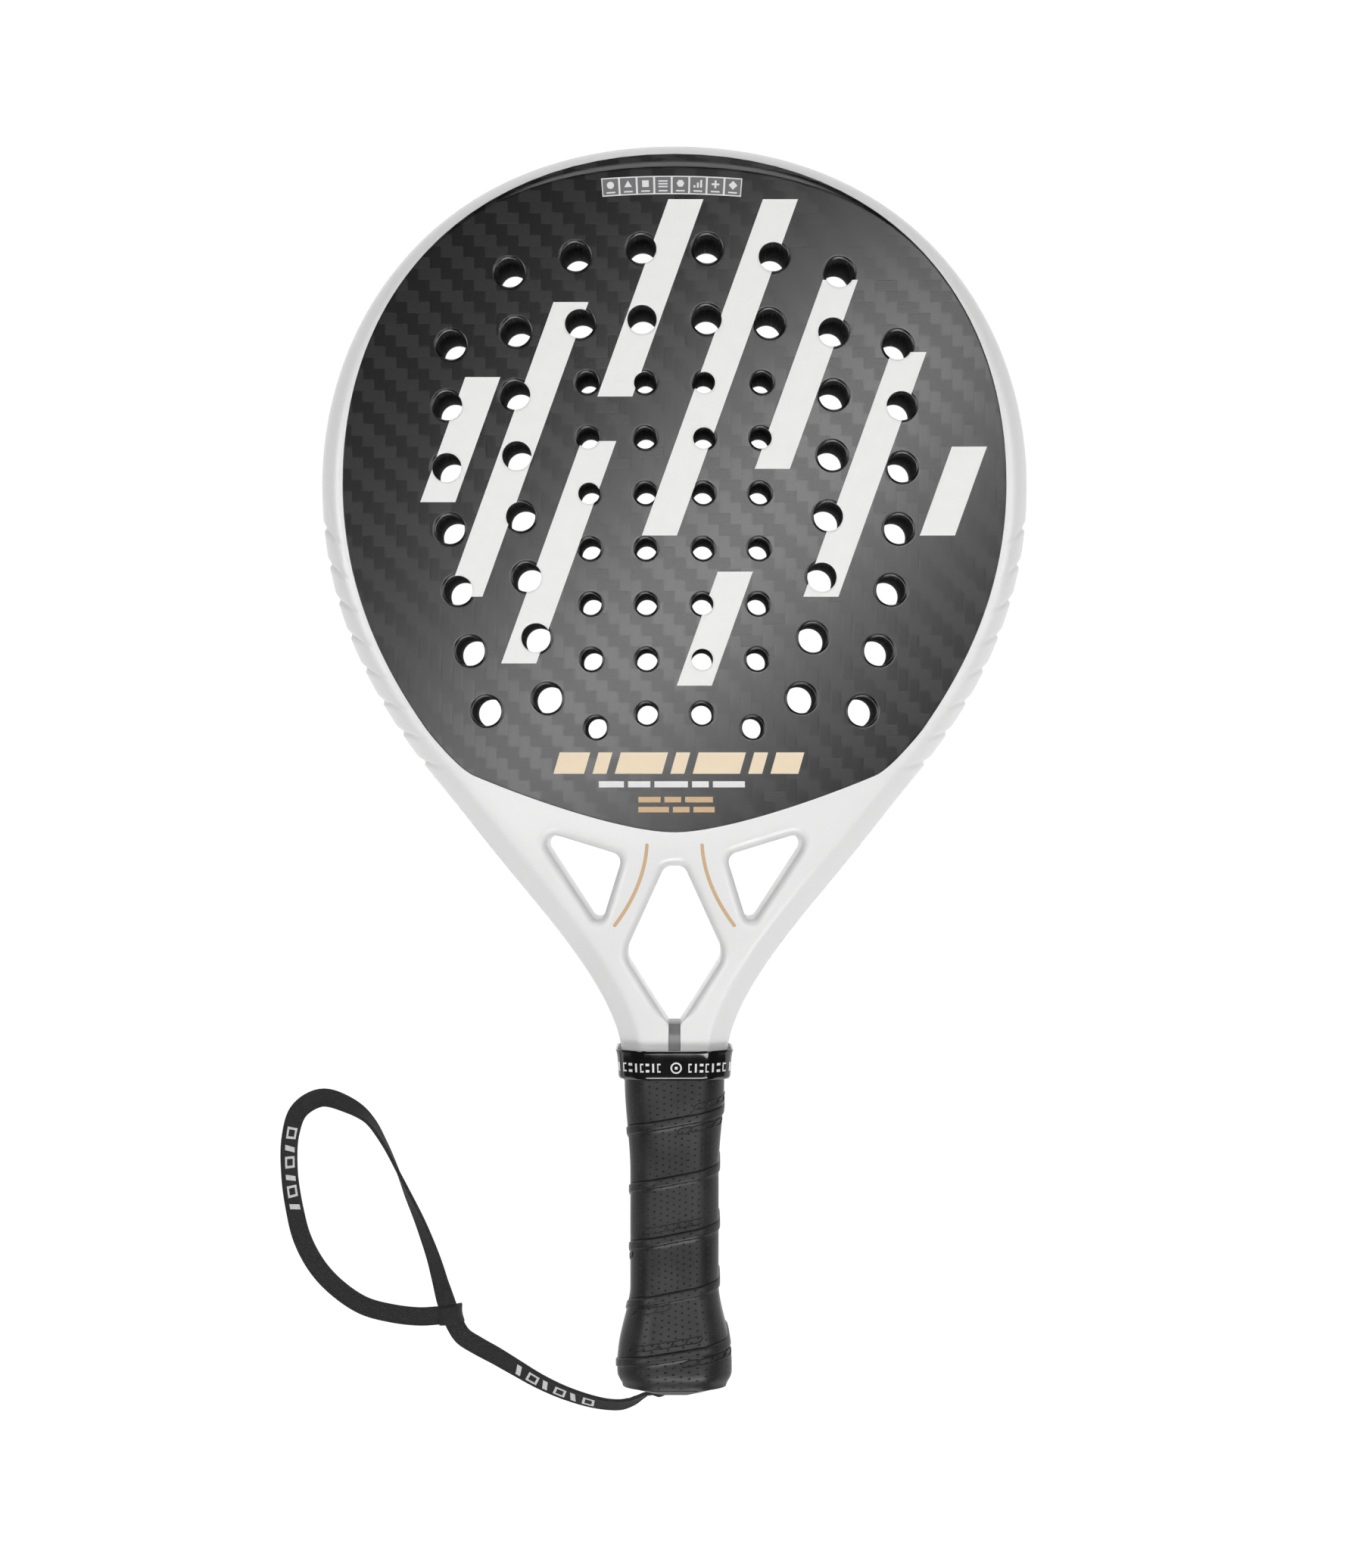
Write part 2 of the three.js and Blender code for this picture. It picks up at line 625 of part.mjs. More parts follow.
part('handle_sleeve', shaftLayer(OVERGRIP + BASE_GRIP + 2 * GAP, SLEEVE, SLEEVE_Y), LAMINATE);
part('foam_plug_left', foamPlug(-1), PU_FOAM);
part('foam_plug_right', foamPlug(1), PU_FOAM);
part('base_grip', shaftLayer(OVERGRIP + GAP, BASE_GRIP, BASE_GRIP_Y), GRIP_RUBBER);
part('overgrip', overgrip(), GRIP_RUBBER);
part('finishing_tape', finishingTape(), TAPE_VINYL);
part('rubber_collar', rubberCollar(), COLLAR_RUBBER);
part('butt_cap', buttCap(), CAP_PLASTIC);

part('strap_knot', strapKnot(), WEBBING);
part('wrist_strap', wristStrap(), WEBBING);
const keeper = part('strap_keeper', strapKeeper(), WEBBING);
keeper.position.set(KEEPER_AT[0], KEEPER_AT[1], 0);
keeper.rotation.z = KEEPER_TURN;

export default racket;
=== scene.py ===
"""Padel racket lying on a pale floor, seen from straight above.

Lengths are written in millimetres and become metres when a mesh is made. The frame is the CAD's:
+Y from the butt to the crown, +X to the right, +Z up, origin under the middle of the racket.
"""
from math import acos, copysign, cos, degrees, hypot, pi, radians, sin, sqrt, tan

import bmesh
import bpy
import numpy as np
from mathutils import Matrix, Vector
from mathutils.geometry import delaunay_2d_cdt


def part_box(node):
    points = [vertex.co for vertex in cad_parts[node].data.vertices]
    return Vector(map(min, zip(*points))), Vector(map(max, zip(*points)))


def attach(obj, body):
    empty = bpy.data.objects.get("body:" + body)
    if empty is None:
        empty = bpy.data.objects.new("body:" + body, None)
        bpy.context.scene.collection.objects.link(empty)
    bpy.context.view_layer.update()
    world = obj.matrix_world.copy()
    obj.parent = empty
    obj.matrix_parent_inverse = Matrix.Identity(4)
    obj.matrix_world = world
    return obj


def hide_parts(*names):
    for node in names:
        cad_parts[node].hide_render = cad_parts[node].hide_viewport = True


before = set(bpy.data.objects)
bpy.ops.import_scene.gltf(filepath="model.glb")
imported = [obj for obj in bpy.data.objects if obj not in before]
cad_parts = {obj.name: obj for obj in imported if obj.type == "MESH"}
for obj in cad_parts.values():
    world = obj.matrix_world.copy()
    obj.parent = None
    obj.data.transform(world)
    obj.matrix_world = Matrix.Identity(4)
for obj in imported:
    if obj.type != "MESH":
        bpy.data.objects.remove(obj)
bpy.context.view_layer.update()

MM = 0.001

# ---- sizes shared with the CAD -------------------------------------------------------------

racket_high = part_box("frame_tube")[1]
CROWN_Y = racket_high.y / MM
THICKNESS = racket_high.z / MM
MID_Z = THICKNESS / 2
HEAD_HALF_WIDTH = 128.6
WIDEST_Y = 103
NECK_HALF_WIDTH = 19.3
NECK_Y = -101.5
NECK_BOTTOM_Y = -103.6
NECK_HALF_DEPTH = 15.2
RIM_AT_CROWN = 5.9
RIM_AT_SIDE = 9.2
RIM_FULLNESS = 2.4
ARM_TOP = (86, -5)
ARM_FOOT = (50.2, -48.4)
FACE_BOTTOM_Y = -22.8
SKIN = 1.2
SKIN_LAP = 3
LARGE_HOLE = 5.28
SMALL_HOLE = 3.87
FILLER_HALF_WIDTH = 2.05
SLOT_HALF_WIDTH = 2.13
THROAT_FLOOR_Y = -92.6
INK = 0.05

# ---- meshes --------------------------------------------------------------------------------


class Builder:
    """Corners and faces of one mesh. Corners in the same place are one corner."""

    def __init__(self):
        self.points = []
        self.faces = []
        self.marks = []
        self.uvs = []
        self.known = {}

    def point(self, place):
        key = tuple(round(float(value), 3) for value in place)
        if key not in self.known:
            self.known[key] = len(self.points)
            self.points.append(tuple(float(value) for value in place))
        return self.known[key]

    def face(self, places, mark=0, uv=None):
        corners = [self.point(place) for place in places]
        uv = uv or [(0, 0)] * len(corners)
        kept = [(c, t) for k, (c, t) in enumerate(zip(corners, uv)) if c != corners[k - 1]]
        if len({c for c, _ in kept}) >= 3:
            self.faces.append([c for c, _ in kept])
            self.uvs.append([t for _, t in kept])
            self.marks.append(mark)

    def grid(self, rows, looped=False, ringed=False, mark=0, uv=None):
        """Quads between neighbouring rows. Ringed rows close on themselves."""
        for r in range(len(rows) if looped else len(rows) - 1):
            low, high = rows[r], rows[(r + 1) % len(rows)]
            for k in range(len(low) if ringed else len(low) - 1):
                n = (k + 1) % len(low)
                corners = [low[k], low[n], high[n], high[k]]
                spots = [uv(r, k), uv(r, k + 1), uv(r + 1, k + 1), uv(r + 1, k)] if uv else None
                self.face(corners, mark(r, k) if callable(mark) else mark, spots)

    def cap(self, ring, mark=0):
        """A fan from the middle of a ring."""
        middle = np.mean(np.array(ring), axis=0)
        for k, place in enumerate(ring):
            self.face([middle, place, ring[(k + 1) % len(ring)]], mark)

    def mirrored(self, axis):
        """Adds the mirror image of everything so far."""
        for corners, mark, uv in list(zip(self.faces, self.marks, self.uvs)):
            places = []
            for corner in reversed(corners):
                place = list(self.points[corner])
                place[axis] = -place[axis]
                places.append(place)
            self.face(places, mark, list(reversed(uv)))


def make_mesh(name, builder, sharp_degrees=35):
    """A smooth-shaded mesh in metres, with hard edges where faces meet at a sharper angle."""
    mesh = bpy.data.meshes.new(name)
    mesh.from_pydata([tuple(v * MM for v in p) for p in builder.points], [], builder.faces)
    layer = mesh.uv_layers.new(name="UVMap")
    flat = [value for face in builder.uvs for spot in face for value in spot]
    layer.data.foreach_set("uv", flat)
    mesh.polygons.foreach_set("material_index", builder.marks)
    work = bmesh.new()
    work.from_mesh(mesh)
    bmesh.ops.recalc_face_normals(work, faces=work.faces)
    limit = radians(sharp_degrees)
    for edge in work.edges:
        edge.smooth = len(edge.link_faces) != 2 or edge.calc_face_angle(0) < limit
    for polygon in work.faces:
        polygon.smooth = True
    work.to_mesh(mesh)
    work.free()
    return mesh


def add_object(name, data):
    """A new object in the scene."""
    made = bpy.data.objects.new(name, data)
    bpy.context.scene.collection.objects.link(made)
    return made


def place_piece(name, mesh, materials, replaces=()):
    """A finished piece of the racket, with its materials and the nodes it stands for."""
    piece = add_object(name, mesh)
    for material in materials:
        mesh.materials.append(material)
    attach(piece, "root")
    if replaces:
        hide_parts(*replaces)
    return piece


def add_piece(name, builder, materials, replaces=(), sharp_degrees=35):
    return place_piece(name, make_mesh(name, builder, sharp_degrees), materials, replaces)


# ---- plane geometry ------------------------------------------------------------------------


def smoothstep(low, high, value):
    t = min(1.0, max(0.0, (value - low) / (high - low)))
    return t * t * (3 - 2 * t)


def mix(a, b, t):
    return a + (b - a) * t


def turns(count):
    """Angles of even steps around a full turn."""
    return [2 * pi * k / count for k in range(count)]


def units(ways):
    """The same directions with length 1."""
    return ways / np.linalg.norm(ways, axis=1)[:, None]


def right_of(ways):
    """Unit vectors to the right of directions in the plane."""
    return units(np.array([ways[:, 1], -ways[:, 0]]).T)


def around(loop):
    """Directions along a closed loop at each of its points."""
    return np.roll(loop, -1, axis=0) - np.roll(loop, 1, axis=0)


def bezier(controls, t):
    """Point and direction on a Bezier curve through its control points."""
    points = np.array(controls, float)
    while len(points) > 2:
        points = points[:-1] * (1 - t) + points[1:] * t
    way = points[1] - points[0]
    return points[0] * (1 - t) + points[1] * t, way / np.linalg.norm(way)


def bezier_points(controls, steps):
    return [bezier(controls, k / steps)[0] for k in range(steps + 1)]


def inside(points, loop):
    """Which points lie inside a closed loop."""
    points = np.asarray(points, float)
    loop = np.asarray(loop, float)
    result = np.zeros(len(points), bool)
    for (x0, y0), (x1, y1) in zip(loop, np.roll(loop, -1, axis=0)):
        if y0 == y1:
            continue
        crosses = (y0 > points[:, 1]) != (y1 > points[:, 1])
        at = x0 + (points[:, 1] - y0) * (x1 - x0) / (y1 - y0)
        result ^= crosses & (points[:, 0] < at)
    return result


def grid_inside(loop, holes, spacing, clear):
    """A square grid of points inside a loop, clear of its edge and of round holes."""
    loop = np.asarray(loop, float)
    low, high = loop.min(axis=0), loop.max(axis=0)
    xs = np.arange(low[0] + spacing / 2, high[0], spacing)
    ys = np.arange(low[1] + spacing / 2, high[1], spacing)
    points = np.array([(x, y) for x in xs for y in ys])
    points = points[inside(points, loop)]
    far = np.array([np.min(np.hypot(*(loop - p).T)) > clear for p in points])
    points = points[far]
    for x, y, radius in holes:
        points = points[np.hypot(points[:, 0] - x, points[:, 1] - y) > radius + clear / 2]
    return points


def triangulate(outer, holes=(), cuts=(), extra=()):
    """Triangles that fill a loop around its holes. Cuts are closed loops whose edges are kept."""
    coords, edges = [], []
    for loop in [outer, *holes, *cuts]:
        first = len(coords)
        coords.extend(Vector((float(x), float(y))) for x, y in loop)
        edges.extend((first + k, first + (k + 1) % len(loop)) for k in range(len(loop)))
    coords.extend(Vector((float(x), float(y))) for x, y in extra)
    points, _, triangles, _, _, _ = delaunay_2d_cdt(coords, edges, [], 0, 1e-4)
    middles = np.array([sum((points[c] for c in t), Vector((0, 0))) / 3 for t in triangles])
    keep = inside(middles, outer)
    for hole in holes:
        keep &= ~inside(middles, hole)
    chosen = [t for t, kept in zip(triangles, keep) if kept]
    return [tuple(p) for p in points], chosen, middles[keep]


# ---- shader helper -------------------------------------------------------------------------

SOCKETS = {
    "coat": "Coat Weight",
    "coat_roughness": "Coat Roughness",
    "sheen": "Sheen Weight",
    "sheen_roughness": "Sheen Roughness",
    "specular": "Specular IOR Level",
    "emission": "Emission Strength",
}


def shade(color, share):
    """A darker or lighter tone of a colour."""
    return tuple(share * value for value in color)


class Finish:
    """One Principled material and short ways to add nodes to it."""

    def __init__(self, name, color, roughness, **levels):
        self.material = bpy.data.materials.new(name)
        self.material.use_nodes = True
        self.tree = self.material.node_tree
        self.surface = self.tree.nodes["Principled BSDF"]
        self.surface.inputs["Base Color"].default_value = (*color, 1)
        self.surface.inputs["Roughness"].default_value = roughness
        self.material.diffuse_color = (*color, 1)
        for key, value in levels.items():
            self.surface.inputs[SOCKETS[key]].default_value = value

    def node(self, kind, **settings):
        made = self.tree.nodes.new("ShaderNode" + kind)
        for key, value in settings.items():
            setattr(made, key, value)
        return made

    def feed(self, source, target):
        if isinstance(source, (int, float, tuple)):
            target.default_value = source
        else:
            self.tree.links.new(source, target)

    def math(self, operation, *values):
        made = self.node("Math", operation=operation)
        for value, socket in zip(values, made.inputs):
            self.feed(value, socket)
        return made.outputs[0]

    def place(self, kind="Object"):
        split = self.node("SeparateXYZ")
        self.feed(self.node("TexCoord").outputs[kind], split.inputs[0])
        return split.outputs

    def vector(self, *values):
        made = self.node("CombineXYZ")
        for value, socket in zip(values, made.inputs):
            self.feed(value, socket)
        return made.outputs[0]

    def noise(self, scale, vector=None, detail=2.0, roughness=0.5):
        made = self.node("TexNoise")
        made.inputs["Scale"].default_value = scale
        made.inputs["Detail"].default_value = detail
        made.inputs["Roughness"].default_value = roughness
        self.feed(vector or self.node("TexCoord").outputs["Object"], made.inputs["Vector"])
        return made.outputs[0]

    def ramp(self, value, low, high, to_low=0.0, to_high=1.0):
        made = self.node("MapRange", interpolation_type="SMOOTHSTEP")
        for given, socket in zip((value, low, high, to_low, to_high), made.inputs):
            self.feed(given, socket)
        return made.outputs[0]

    def blend(self, factor, low, high):
        """A colour between two colours, or a number between two numbers."""
        made = self.node("Mix", data_type="RGBA")
        self.feed(factor, made.inputs[0])
        for given, socket in ((low, made.inputs[6]), (high, made.inputs[7])):
            self.feed((*given, 1) if isinstance(given, tuple) else given, socket)
        return made.outputs[2]

    def choose(self, factor, low, high):
        return self.math("MULTIPLY_ADD", factor, self.math("SUBTRACT", high, low), low)

    def mottle(self, color, share, scale, detail=3, roughness=0.5):
        """A cloudy base colour between a share of a colour and the colour itself."""
        cloud = self.noise(scale, detail=detail, roughness=roughness)
        self.color(self.blend(cloud, shade(color, share), color))

    def color(self, source):
        self.feed(source, self.surface.inputs["Base Color"])

    def roughness(self, source):
        self.feed(source, self.surface.inputs["Roughness"])

    def bump(self, height, distance, strength=1.0, after=None):
        made = self.node("Bump")
        made.inputs["Strength"].default_value = strength
        made.inputs["Distance"].default_value = distance
        self.feed(height, made.inputs["Height"])
        if after:
            self.feed(after, made.inputs["Normal"])
        self.feed(made.outputs[0], self.surface.inputs["Normal"])
        return made.outputs[0]


# ---- materials -----------------------------------------------------------------------------


def white_lacquer():
    """Sprayed white lacquer: faint cloudiness and a very fine orange peel under a clear coat."""
    made = Finish("white_lacquer", (0.8, 0.8, 0.795), 0.34, coat=0.4, coat_roughness=0.24)
    cloud = made.noise(30, detail=3)
    specks = made.math("GREATER_THAN", made.noise(900, detail=1), 0.84)
    tone = made.blend(cloud, (0.77, 0.772, 0.768), (0.82, 0.82, 0.815))
    made.color(made.blend(made.math("MULTIPLY", specks, 0.25), tone, (0.35, 0.35, 0.34)))
    made.roughness(made.ramp(cloud, 0.3, 0.7, 0.3, 0.38))
    made.bump(made.noise(420, detail=2), 0.00004)
    return made.material


TOW = 4.0 * MM


def carbon_twill(name, dark, light):
    """Woven carbon under satin varnish: tows cross two over and two under, one step per row."""
    made = Finish(name, light, 0.22, specular=0.5)
    x, y, _ = made.place()
    across = made.math("DIVIDE", x, TOW)
    down = made.math("DIVIDE", y, -TOW)
    column = made.math("FLOOR", across)
    row = made.math("FLOOR", down)
    step = made.math("SUBTRACT", column, row)
    phase = made.math("FLOORED_MODULO", step, 4.0)
    warp = made.math("LESS_THAN", phase, 1.5)
    run = made.math("FLOOR", made.math("DIVIDE", step, 4.0))
    # one random tone for each stretch of tow that lies on top
    tone = made.node("TexWhiteNoise", noise_dimensions="3D")
    made.feed(made.vector(made.choose(warp, row, column), run, warp), tone.inputs["Vector"])
    # filaments run along the tow that lies on top
    along = made.math("MULTIPLY", made.choose(warp, x, y), 60.0)
    over = made.math("MULTIPLY", made.choose(warp, y, x), 2600.0)
    filaments = made.noise(1.0, made.vector(over, along, warp), detail=3, roughness=0.7)
    cloud = made.noise(14, detail=2)
    # tows that lie across are painted darker than tows that lie along: a painted difference in
    # reflection, since both are the same black fibre and only catch the light differently
    level = made.math("MULTIPLY", warp, -0.5)
    level = made.math("MULTIPLY_ADD", tone.outputs[0], 0.16, level)
    level = made.math("MULTIPLY_ADD", filaments, 0.12, level)
    level = made.math("MULTIPLY_ADD", cloud, 0.3, level)
    made.color(made.blend(made.ramp(level, -0.35, 0.95), dark, light))
    made.roughness(made.choose(warp, 0.23, 0.2))
    # the varnish is sanded level, so the tows only dip a little where they cross
    crown_x = made.math("PINGPONG", made.math("SUBTRACT", across, column), 0.5)
    crown_y = made.math("PINGPONG", made.math("SUBTRACT", down, row), 0.5)
    crown = made.ramp(made.choose(warp, crown_y, crown_x), 0.0, 0.1)
    height = made.math("MULTIPLY_ADD", filaments, 0.1, crown)
    made.bump(height, 0.000006, 0.5)
    return made.material


def plain_print(name, color, roughness=0.45, **levels):
    """Screen-printed ink: even tone with a slight mottle and a fine dusty tooth."""
    made = Finish(name, color, roughness, **levels)
    made.mottle(color, 0.94, 160)
    made.bump(made.noise(1500, detail=2), 0.00002, 0.5)
    return made.material


def drilled_foam():
    """Dark EVA foam cut by a drill: closed cells and fine rings and scores down each wall."""
    made = Finish("drilled_foam", (0.02, 0.02, 0.021), 0.9, specular=0.05)
    x, y, z = made.place()
    stretch = [(x, 2200.0), (y, 2200.0), (z, 60.0)]
    spots = made.vector(*(made.math("MULTIPLY", value, scale) for value, scale in stretch))
    scores = made.noise(1.0, spots, detail=2, roughness=0.7)
    cells = made.noise(900, detail=1)
    light = made.math("MULTIPLY", made.ramp(scores, 0.55, 0.8), 0.7)
    made.color(made.blend(light, (0.04, 0.04, 0.041), (0.26, 0.26, 0.265)))
    made.bump(made.math("ADD", scores, cells), 0.00012, 0.7)
    return made.material


def collar_rubber():
    """Glossy moulded rubber with slow waves in its skin."""
    made = Finish("collar_rubber", (0.006, 0.006, 0.006), 0.12, coat=0.6, coat_roughness=0.08)
    made.roughness(made.ramp(made.noise(120, detail=3), 0.3, 0.75, 0.1, 0.2))
    made.bump(made.noise(90, detail=2), 0.0001, 0.35)
    return made.material


DOT_COLUMN = 2.1 * MM
DOT_ROW = 2.37 * MM


def grip_rubber(name, color, dots=True):
    """Tacky polyurethane tape: matt, finely grained and punched with staggered rows of dots."""
    made = Finish(name, color, 0.4, specular=0.42)
    grain = made.noise(1300, detail=3, roughness=0.65)
    cloud = made.noise(60, detail=3)
    tone = made.blend(made.ramp(cloud, 0.3, 0.7), shade(color, 0.75), shade(color, 1.2))
    made.roughness(made.ramp(cloud, 0.3, 0.7, 0.36, 0.46))
    bump = made.bump(grain, 0.00004, 0.5)
    if dots:
        u, v, _ = made.place("UV")
        across = made.math("DIVIDE", u, DOT_COLUMN)
        column = made.math("FLOOR", across)
        stagger = made.math("MULTIPLY", made.math("FLOORED_MODULO", column, 2.0), 0.5)
        along = made.math("ADD", made.math("DIVIDE", v, DOT_ROW), stagger)
        squares = 0.0
        for place, pitch in ((across, DOT_COLUMN), (along, DOT_ROW)):
            off = made.math("SUBTRACT", made.math("FRACT", place), 0.5)
            off = made.math("MULTIPLY", off, pitch / MM)
            squares = made.math("MULTIPLY_ADD", off, off, squares)
        pit_and_shade = made.ramp(made.math("SQRT", squares), 0.12, 0.36)
        # the inside of each punched dot is painted darker: painted shade in the recess, laid over the
        # dot's real bump
        tone = made.blend(pit_and_shade, shade(color, 0.4), tone)
        made.bump(pit_and_shade, 0.00035, 0.8, after=bump)
    made.color(tone)
    return made.material


def moulded_plastic(name, color, roughness):
    """Dark moulded plastic or vinyl: nearly even, with a fine tooth."""
    made = Finish(name, color, roughness, specular=0.25)
    made.mottle(color, 0.85, 80)
    made.bump(made.noise(1400, detail=2), 0.00003, 0.6)
    return made.material


def webbing(name, color, thread=0.55):
    """Flat polyester webbing: a fine herringbone of threads with two straight edge cords."""
    made = Finish(name, color, 0.8, sheen=0.04, sheen_roughness=0.5, specular=0.2)
    u, v, _ = made.place("UV")
    pitch = thread * MM
    across = made.math("DIVIDE", u, pitch)
    along = made.math("DIVIDE", v, pitch)
    column = made.math("FLOOR", across)
    lean = made.math("MULTIPLY", made.math("FLOORED_MODULO", column, 2.0), 0.5)
    strand = made.math("PINGPONG", made.math("ADD", along, lean), 0.5)
    rib = made.math("PINGPONG", made.math("SUBTRACT", across, column), 0.5)
    height = made.math("MULTIPLY", made.ramp(strand, 0.05, 0.4), made.ramp(rib, 0.02, 0.3))
    fuzz = made.noise(1800, detail=2)
    # the raised tops of the threads are painted lighter and the gaps between them darker: painted shade
    # in the weave, mixed with a random fuzz of tone
    level = made.math("MULTIPLY_ADD", fuzz, 0.5, made.math("MULTIPLY", height, 0.6))
    made.color(made.blend(level, shade(color, 0.45), shade(color, 1.5)))
    made.bump(made.math("MULTIPLY_ADD", fuzz, 0.3, height), 0.00012, 0.7)
    return made.material


def raw_fibre(name, color, roughness):
    """Unpainted inner layers: a coarse fibre or foam texture."""
    made = Finish(name, color, roughness)
    made.mottle(color, 0.7, 700, 4, 0.7)
    made.bump(made.noise(900, detail=3), 0.0002, 0.6)
    return made.material


WHITE = white_lacquer()
TWILL = carbon_twill("carbon_twill", (0.004, 0.004, 0.0042), (0.02, 0.02, 0.021))
FACE_PRINT = plain_print("face_print", (0.88, 0.88, 0.865), 0.38)
CHAMPAGNE = plain_print("champagne_print", (0.87, 0.72, 0.52), 0.4)
GOLD = plain_print("gold_print", (0.63, 0.43, 0.24), 0.4)
LABEL_WHITE = plain_print("label_white", (0.8, 0.8, 0.8), 0.45)
LABEL_GREY = plain_print("label_grey", (0.16, 0.16, 0.165), 0.45)
STRIP_GREY = plain_print("strip_grey", (0.24, 0.24, 0.245), 0.35)
FOAM = drilled_foam()
COLLAR = collar_rubber()
COLLAR_PRINT = plain_print("collar_print", (0.75, 0.75, 0.75), 0.3)
GRIP = grip_rubber("overgrip_rubber", (0.018, 0.018, 0.0185))
BASE_GRIP = grip_rubber("base_grip_rubber", (0.012, 0.012, 0.012), dots=False)
CAP = moulded_plastic("cap_plastic", (0.009, 0.009, 0.0095), 0.5)
TAPE = moulded_plastic("tape_vinyl", (0.012, 0.012, 0.012), 0.3)
WEBBING = webbing("webbing", (0.028, 0.028, 0.029))
WEBBING_PRINT = webbing("webbing_print", (0.8, 0.8, 0.8), 0.4)
LAMINATE = raw_fibre("handle_laminate", (0.03, 0.03, 0.032), 0.5)
PU_FOAM = raw_fibre("pu_foam", (0.6, 0.55, 0.36), 0.9)

# ---- wrist strap ---------------------------------------------------------------------------

STRAP_WIDTH = 6.9
STRAP_THICKNESS = 1.3
STRAP_STEPS = 260

# x, y and height of the middle of the webbing, and its roll in degrees: 90 stands on edge
STRAP_ROUTE = [
    (-3, -221.2, 15.5, 90),
    (-3, -224.5, 15.5, 90),
    (-3.1, -227.8, 15.4, 90),
    (-4.4, -229.2, 14.4, 88),
    (-7, -229.8, 12, 84),
    (-10, -230.8, 9, 76),
    (-13, -232.8, 6.6, 66),
    (-16, -234.8, 5, 57),
    (-20, -236.2, 4, 50),
    (-25, -236.2, 3.5, 48),
    (-32, -234.9, 3.2, 43),
    (-41.5, -231.8, 3, 38),
    (-50.5, -227.7, 2.7, 31),
    (-58.8, -223, 2.2, 22),
    (-66.6, -218.5, 1.7, 12),
    (-73.6, -214.7, 1.5, 4),
    (-78.8, -211.2, 2, 0),
    (-81.5, -207, 2.6, 0),
    (-83.2, -203, 2.8, 0),
    (-84.9, -198.6, 2.7, 4),
    (-87, -191.5, 2.6, 28),
    (-89.6, -182, 3.4, 42),
    (-94.5, -168.6, 3.8, 56),
    (-98.8, -158.8, 3.9, 67),
    (-102.8, -149.6, 3.9, 82),
    (-107.9, -139, 3.9, 92),
    (-113.8, -130, 3.8, 106),
    (-121.5, -124.9, 3, 138),
    (-131.5, -122.3, 1.9, 164),
    (-139.8, -127, 1.9, 196),
    (-143, -136.3, 2.7, 214),
    (-143.3, -150.3, 2.9, 218),
    (-141.3, -164.5, 2.5, 210),
    (-138.6, -175, 2, 200),
    (-133.2, -185.3, 1.4, 190),
    (-126, -193.2, 1.1, 184),
    (-116, -199.9, 1.1, 180),
    (-105, -202.9, 1.1, 180),
    (-95, -203.9, 1.6, 180),
    (-88, -203.4, 2.4, 180),
]


def strap_middle(place):
    """Point of the route at a place from 0 to its last point: a centripetal Catmull-Rom curve."""
    route = np.array([row[:3] for row in STRAP_ROUTE], float)
    last = len(route) - 1
    k = min(int(place), last - 1)
    t = place - k
    p1, p2 = route[k], route[k + 1]
    p0 = route[k - 1] if k > 0 else 2 * route[0] - route[1]
    p3 = route[k + 2] if k + 2 <= last else 2 * route[last] - route[last - 1]
    d0, d1, d2 = (np.linalg.norm(b - a) ** 0.5 for a, b in ((p0, p1), (p1, p2), (p2, p3)))
    m1 = ((p1 - p0) / d0 - (p2 - p0) / (d0 + d1) + (p2 - p1) / d1) * d1
    m2 = ((p2 - p1) / d1 - (p3 - p1) / (d1 + d2) + (p3 - p2) / d2) * d1
    return (
        (2 * t ** 3 - 3 * t ** 2 + 1) * p1 + (t ** 3 - 2 * t ** 2 + t) * m1
        + (3 * t ** 2 - 2 * t ** 3) * p2 + (t ** 3 - t ** 2) * m2)


def strap_frame(place):
    """Middle of the webbing, the way across it and the way through it."""
    last = len(STRAP_ROUTE) - 1
    step = 0.002
    along = strap_middle(min(last, place + step)) - strap_middle(max(0, place - step))
    along /= np.linalg.norm(along)
    side = np.cross(along, (0, 0, 1))
    side /= np.linalg.norm(side)
    above = np.cross(side, along)
    k = min(int(place), last - 1)
    roll = radians(mix(STRAP_ROUTE[k][3], STRAP_ROUTE[k + 1][3], place - k))
    wide = side * cos(roll) + above * sin(roll)
    thick = above * cos(roll) - side * sin(roll)
    return strap_middle(place), wide, thick


def strap_places():
    """Even steps along the route."""
    return [k * (len(STRAP_ROUTE) - 1) / STRAP_STEPS for k in range(STRAP_STEPS + 1)]


def strap_lengths():
    """Length of strap before each of the places."""
    middles = [strap_middle(place) for place in strap_places()]
    steps = [np.linalg.norm(b - a) for a, b in zip(middles, middles[1:])]
    return [0.0, *np.cumsum(steps)]


# Half section of the webbing, edge to edge: shares of its half width and of its half thickness.
MIDDLE_SHARE = 0.92
STRAP_EDGE = [(0.4, 0.9), (0.8, 0.86), (0.86, 1), (0.93, 0.95), (0.985, 0.55), (1, 0)]
STRAP_SECTION = [(-a, h) for a, h in reversed(STRAP_EDGE)] + [(0, MIDDLE_SHARE)] + STRAP_EDGE


def wrist_strap():
    """The webbing from inside the butt cap around the loop to its sewn end."""
    ring = STRAP_SECTION + [(a, -h) for a, h in reversed(STRAP_SECTION[1:-1])]
    built = Builder()
    lengths = strap_lengths()
    rows = []
    for place in strap_places():
        middle, wide, thick = strap_frame(place)
        wide, thick = wide * STRAP_WIDTH / 2, thick * STRAP_THICKNESS / 2
        rows.append([middle + wide * a + thick * h for a, h in ring])
    half = len(STRAP_SECTION) - 1

    def spot(r, k):
        over = k if k <= half else 2 * half - k
        return (STRAP_SECTION[over][0] * STRAP_WIDTH / 2 * MM, lengths[min(r, STRAP_STEPS)] * MM)

    built.grid(rows, ringed=True, uv=spot)
    for row in (rows[0], rows[-1]):
        built.cap(row)
    return built


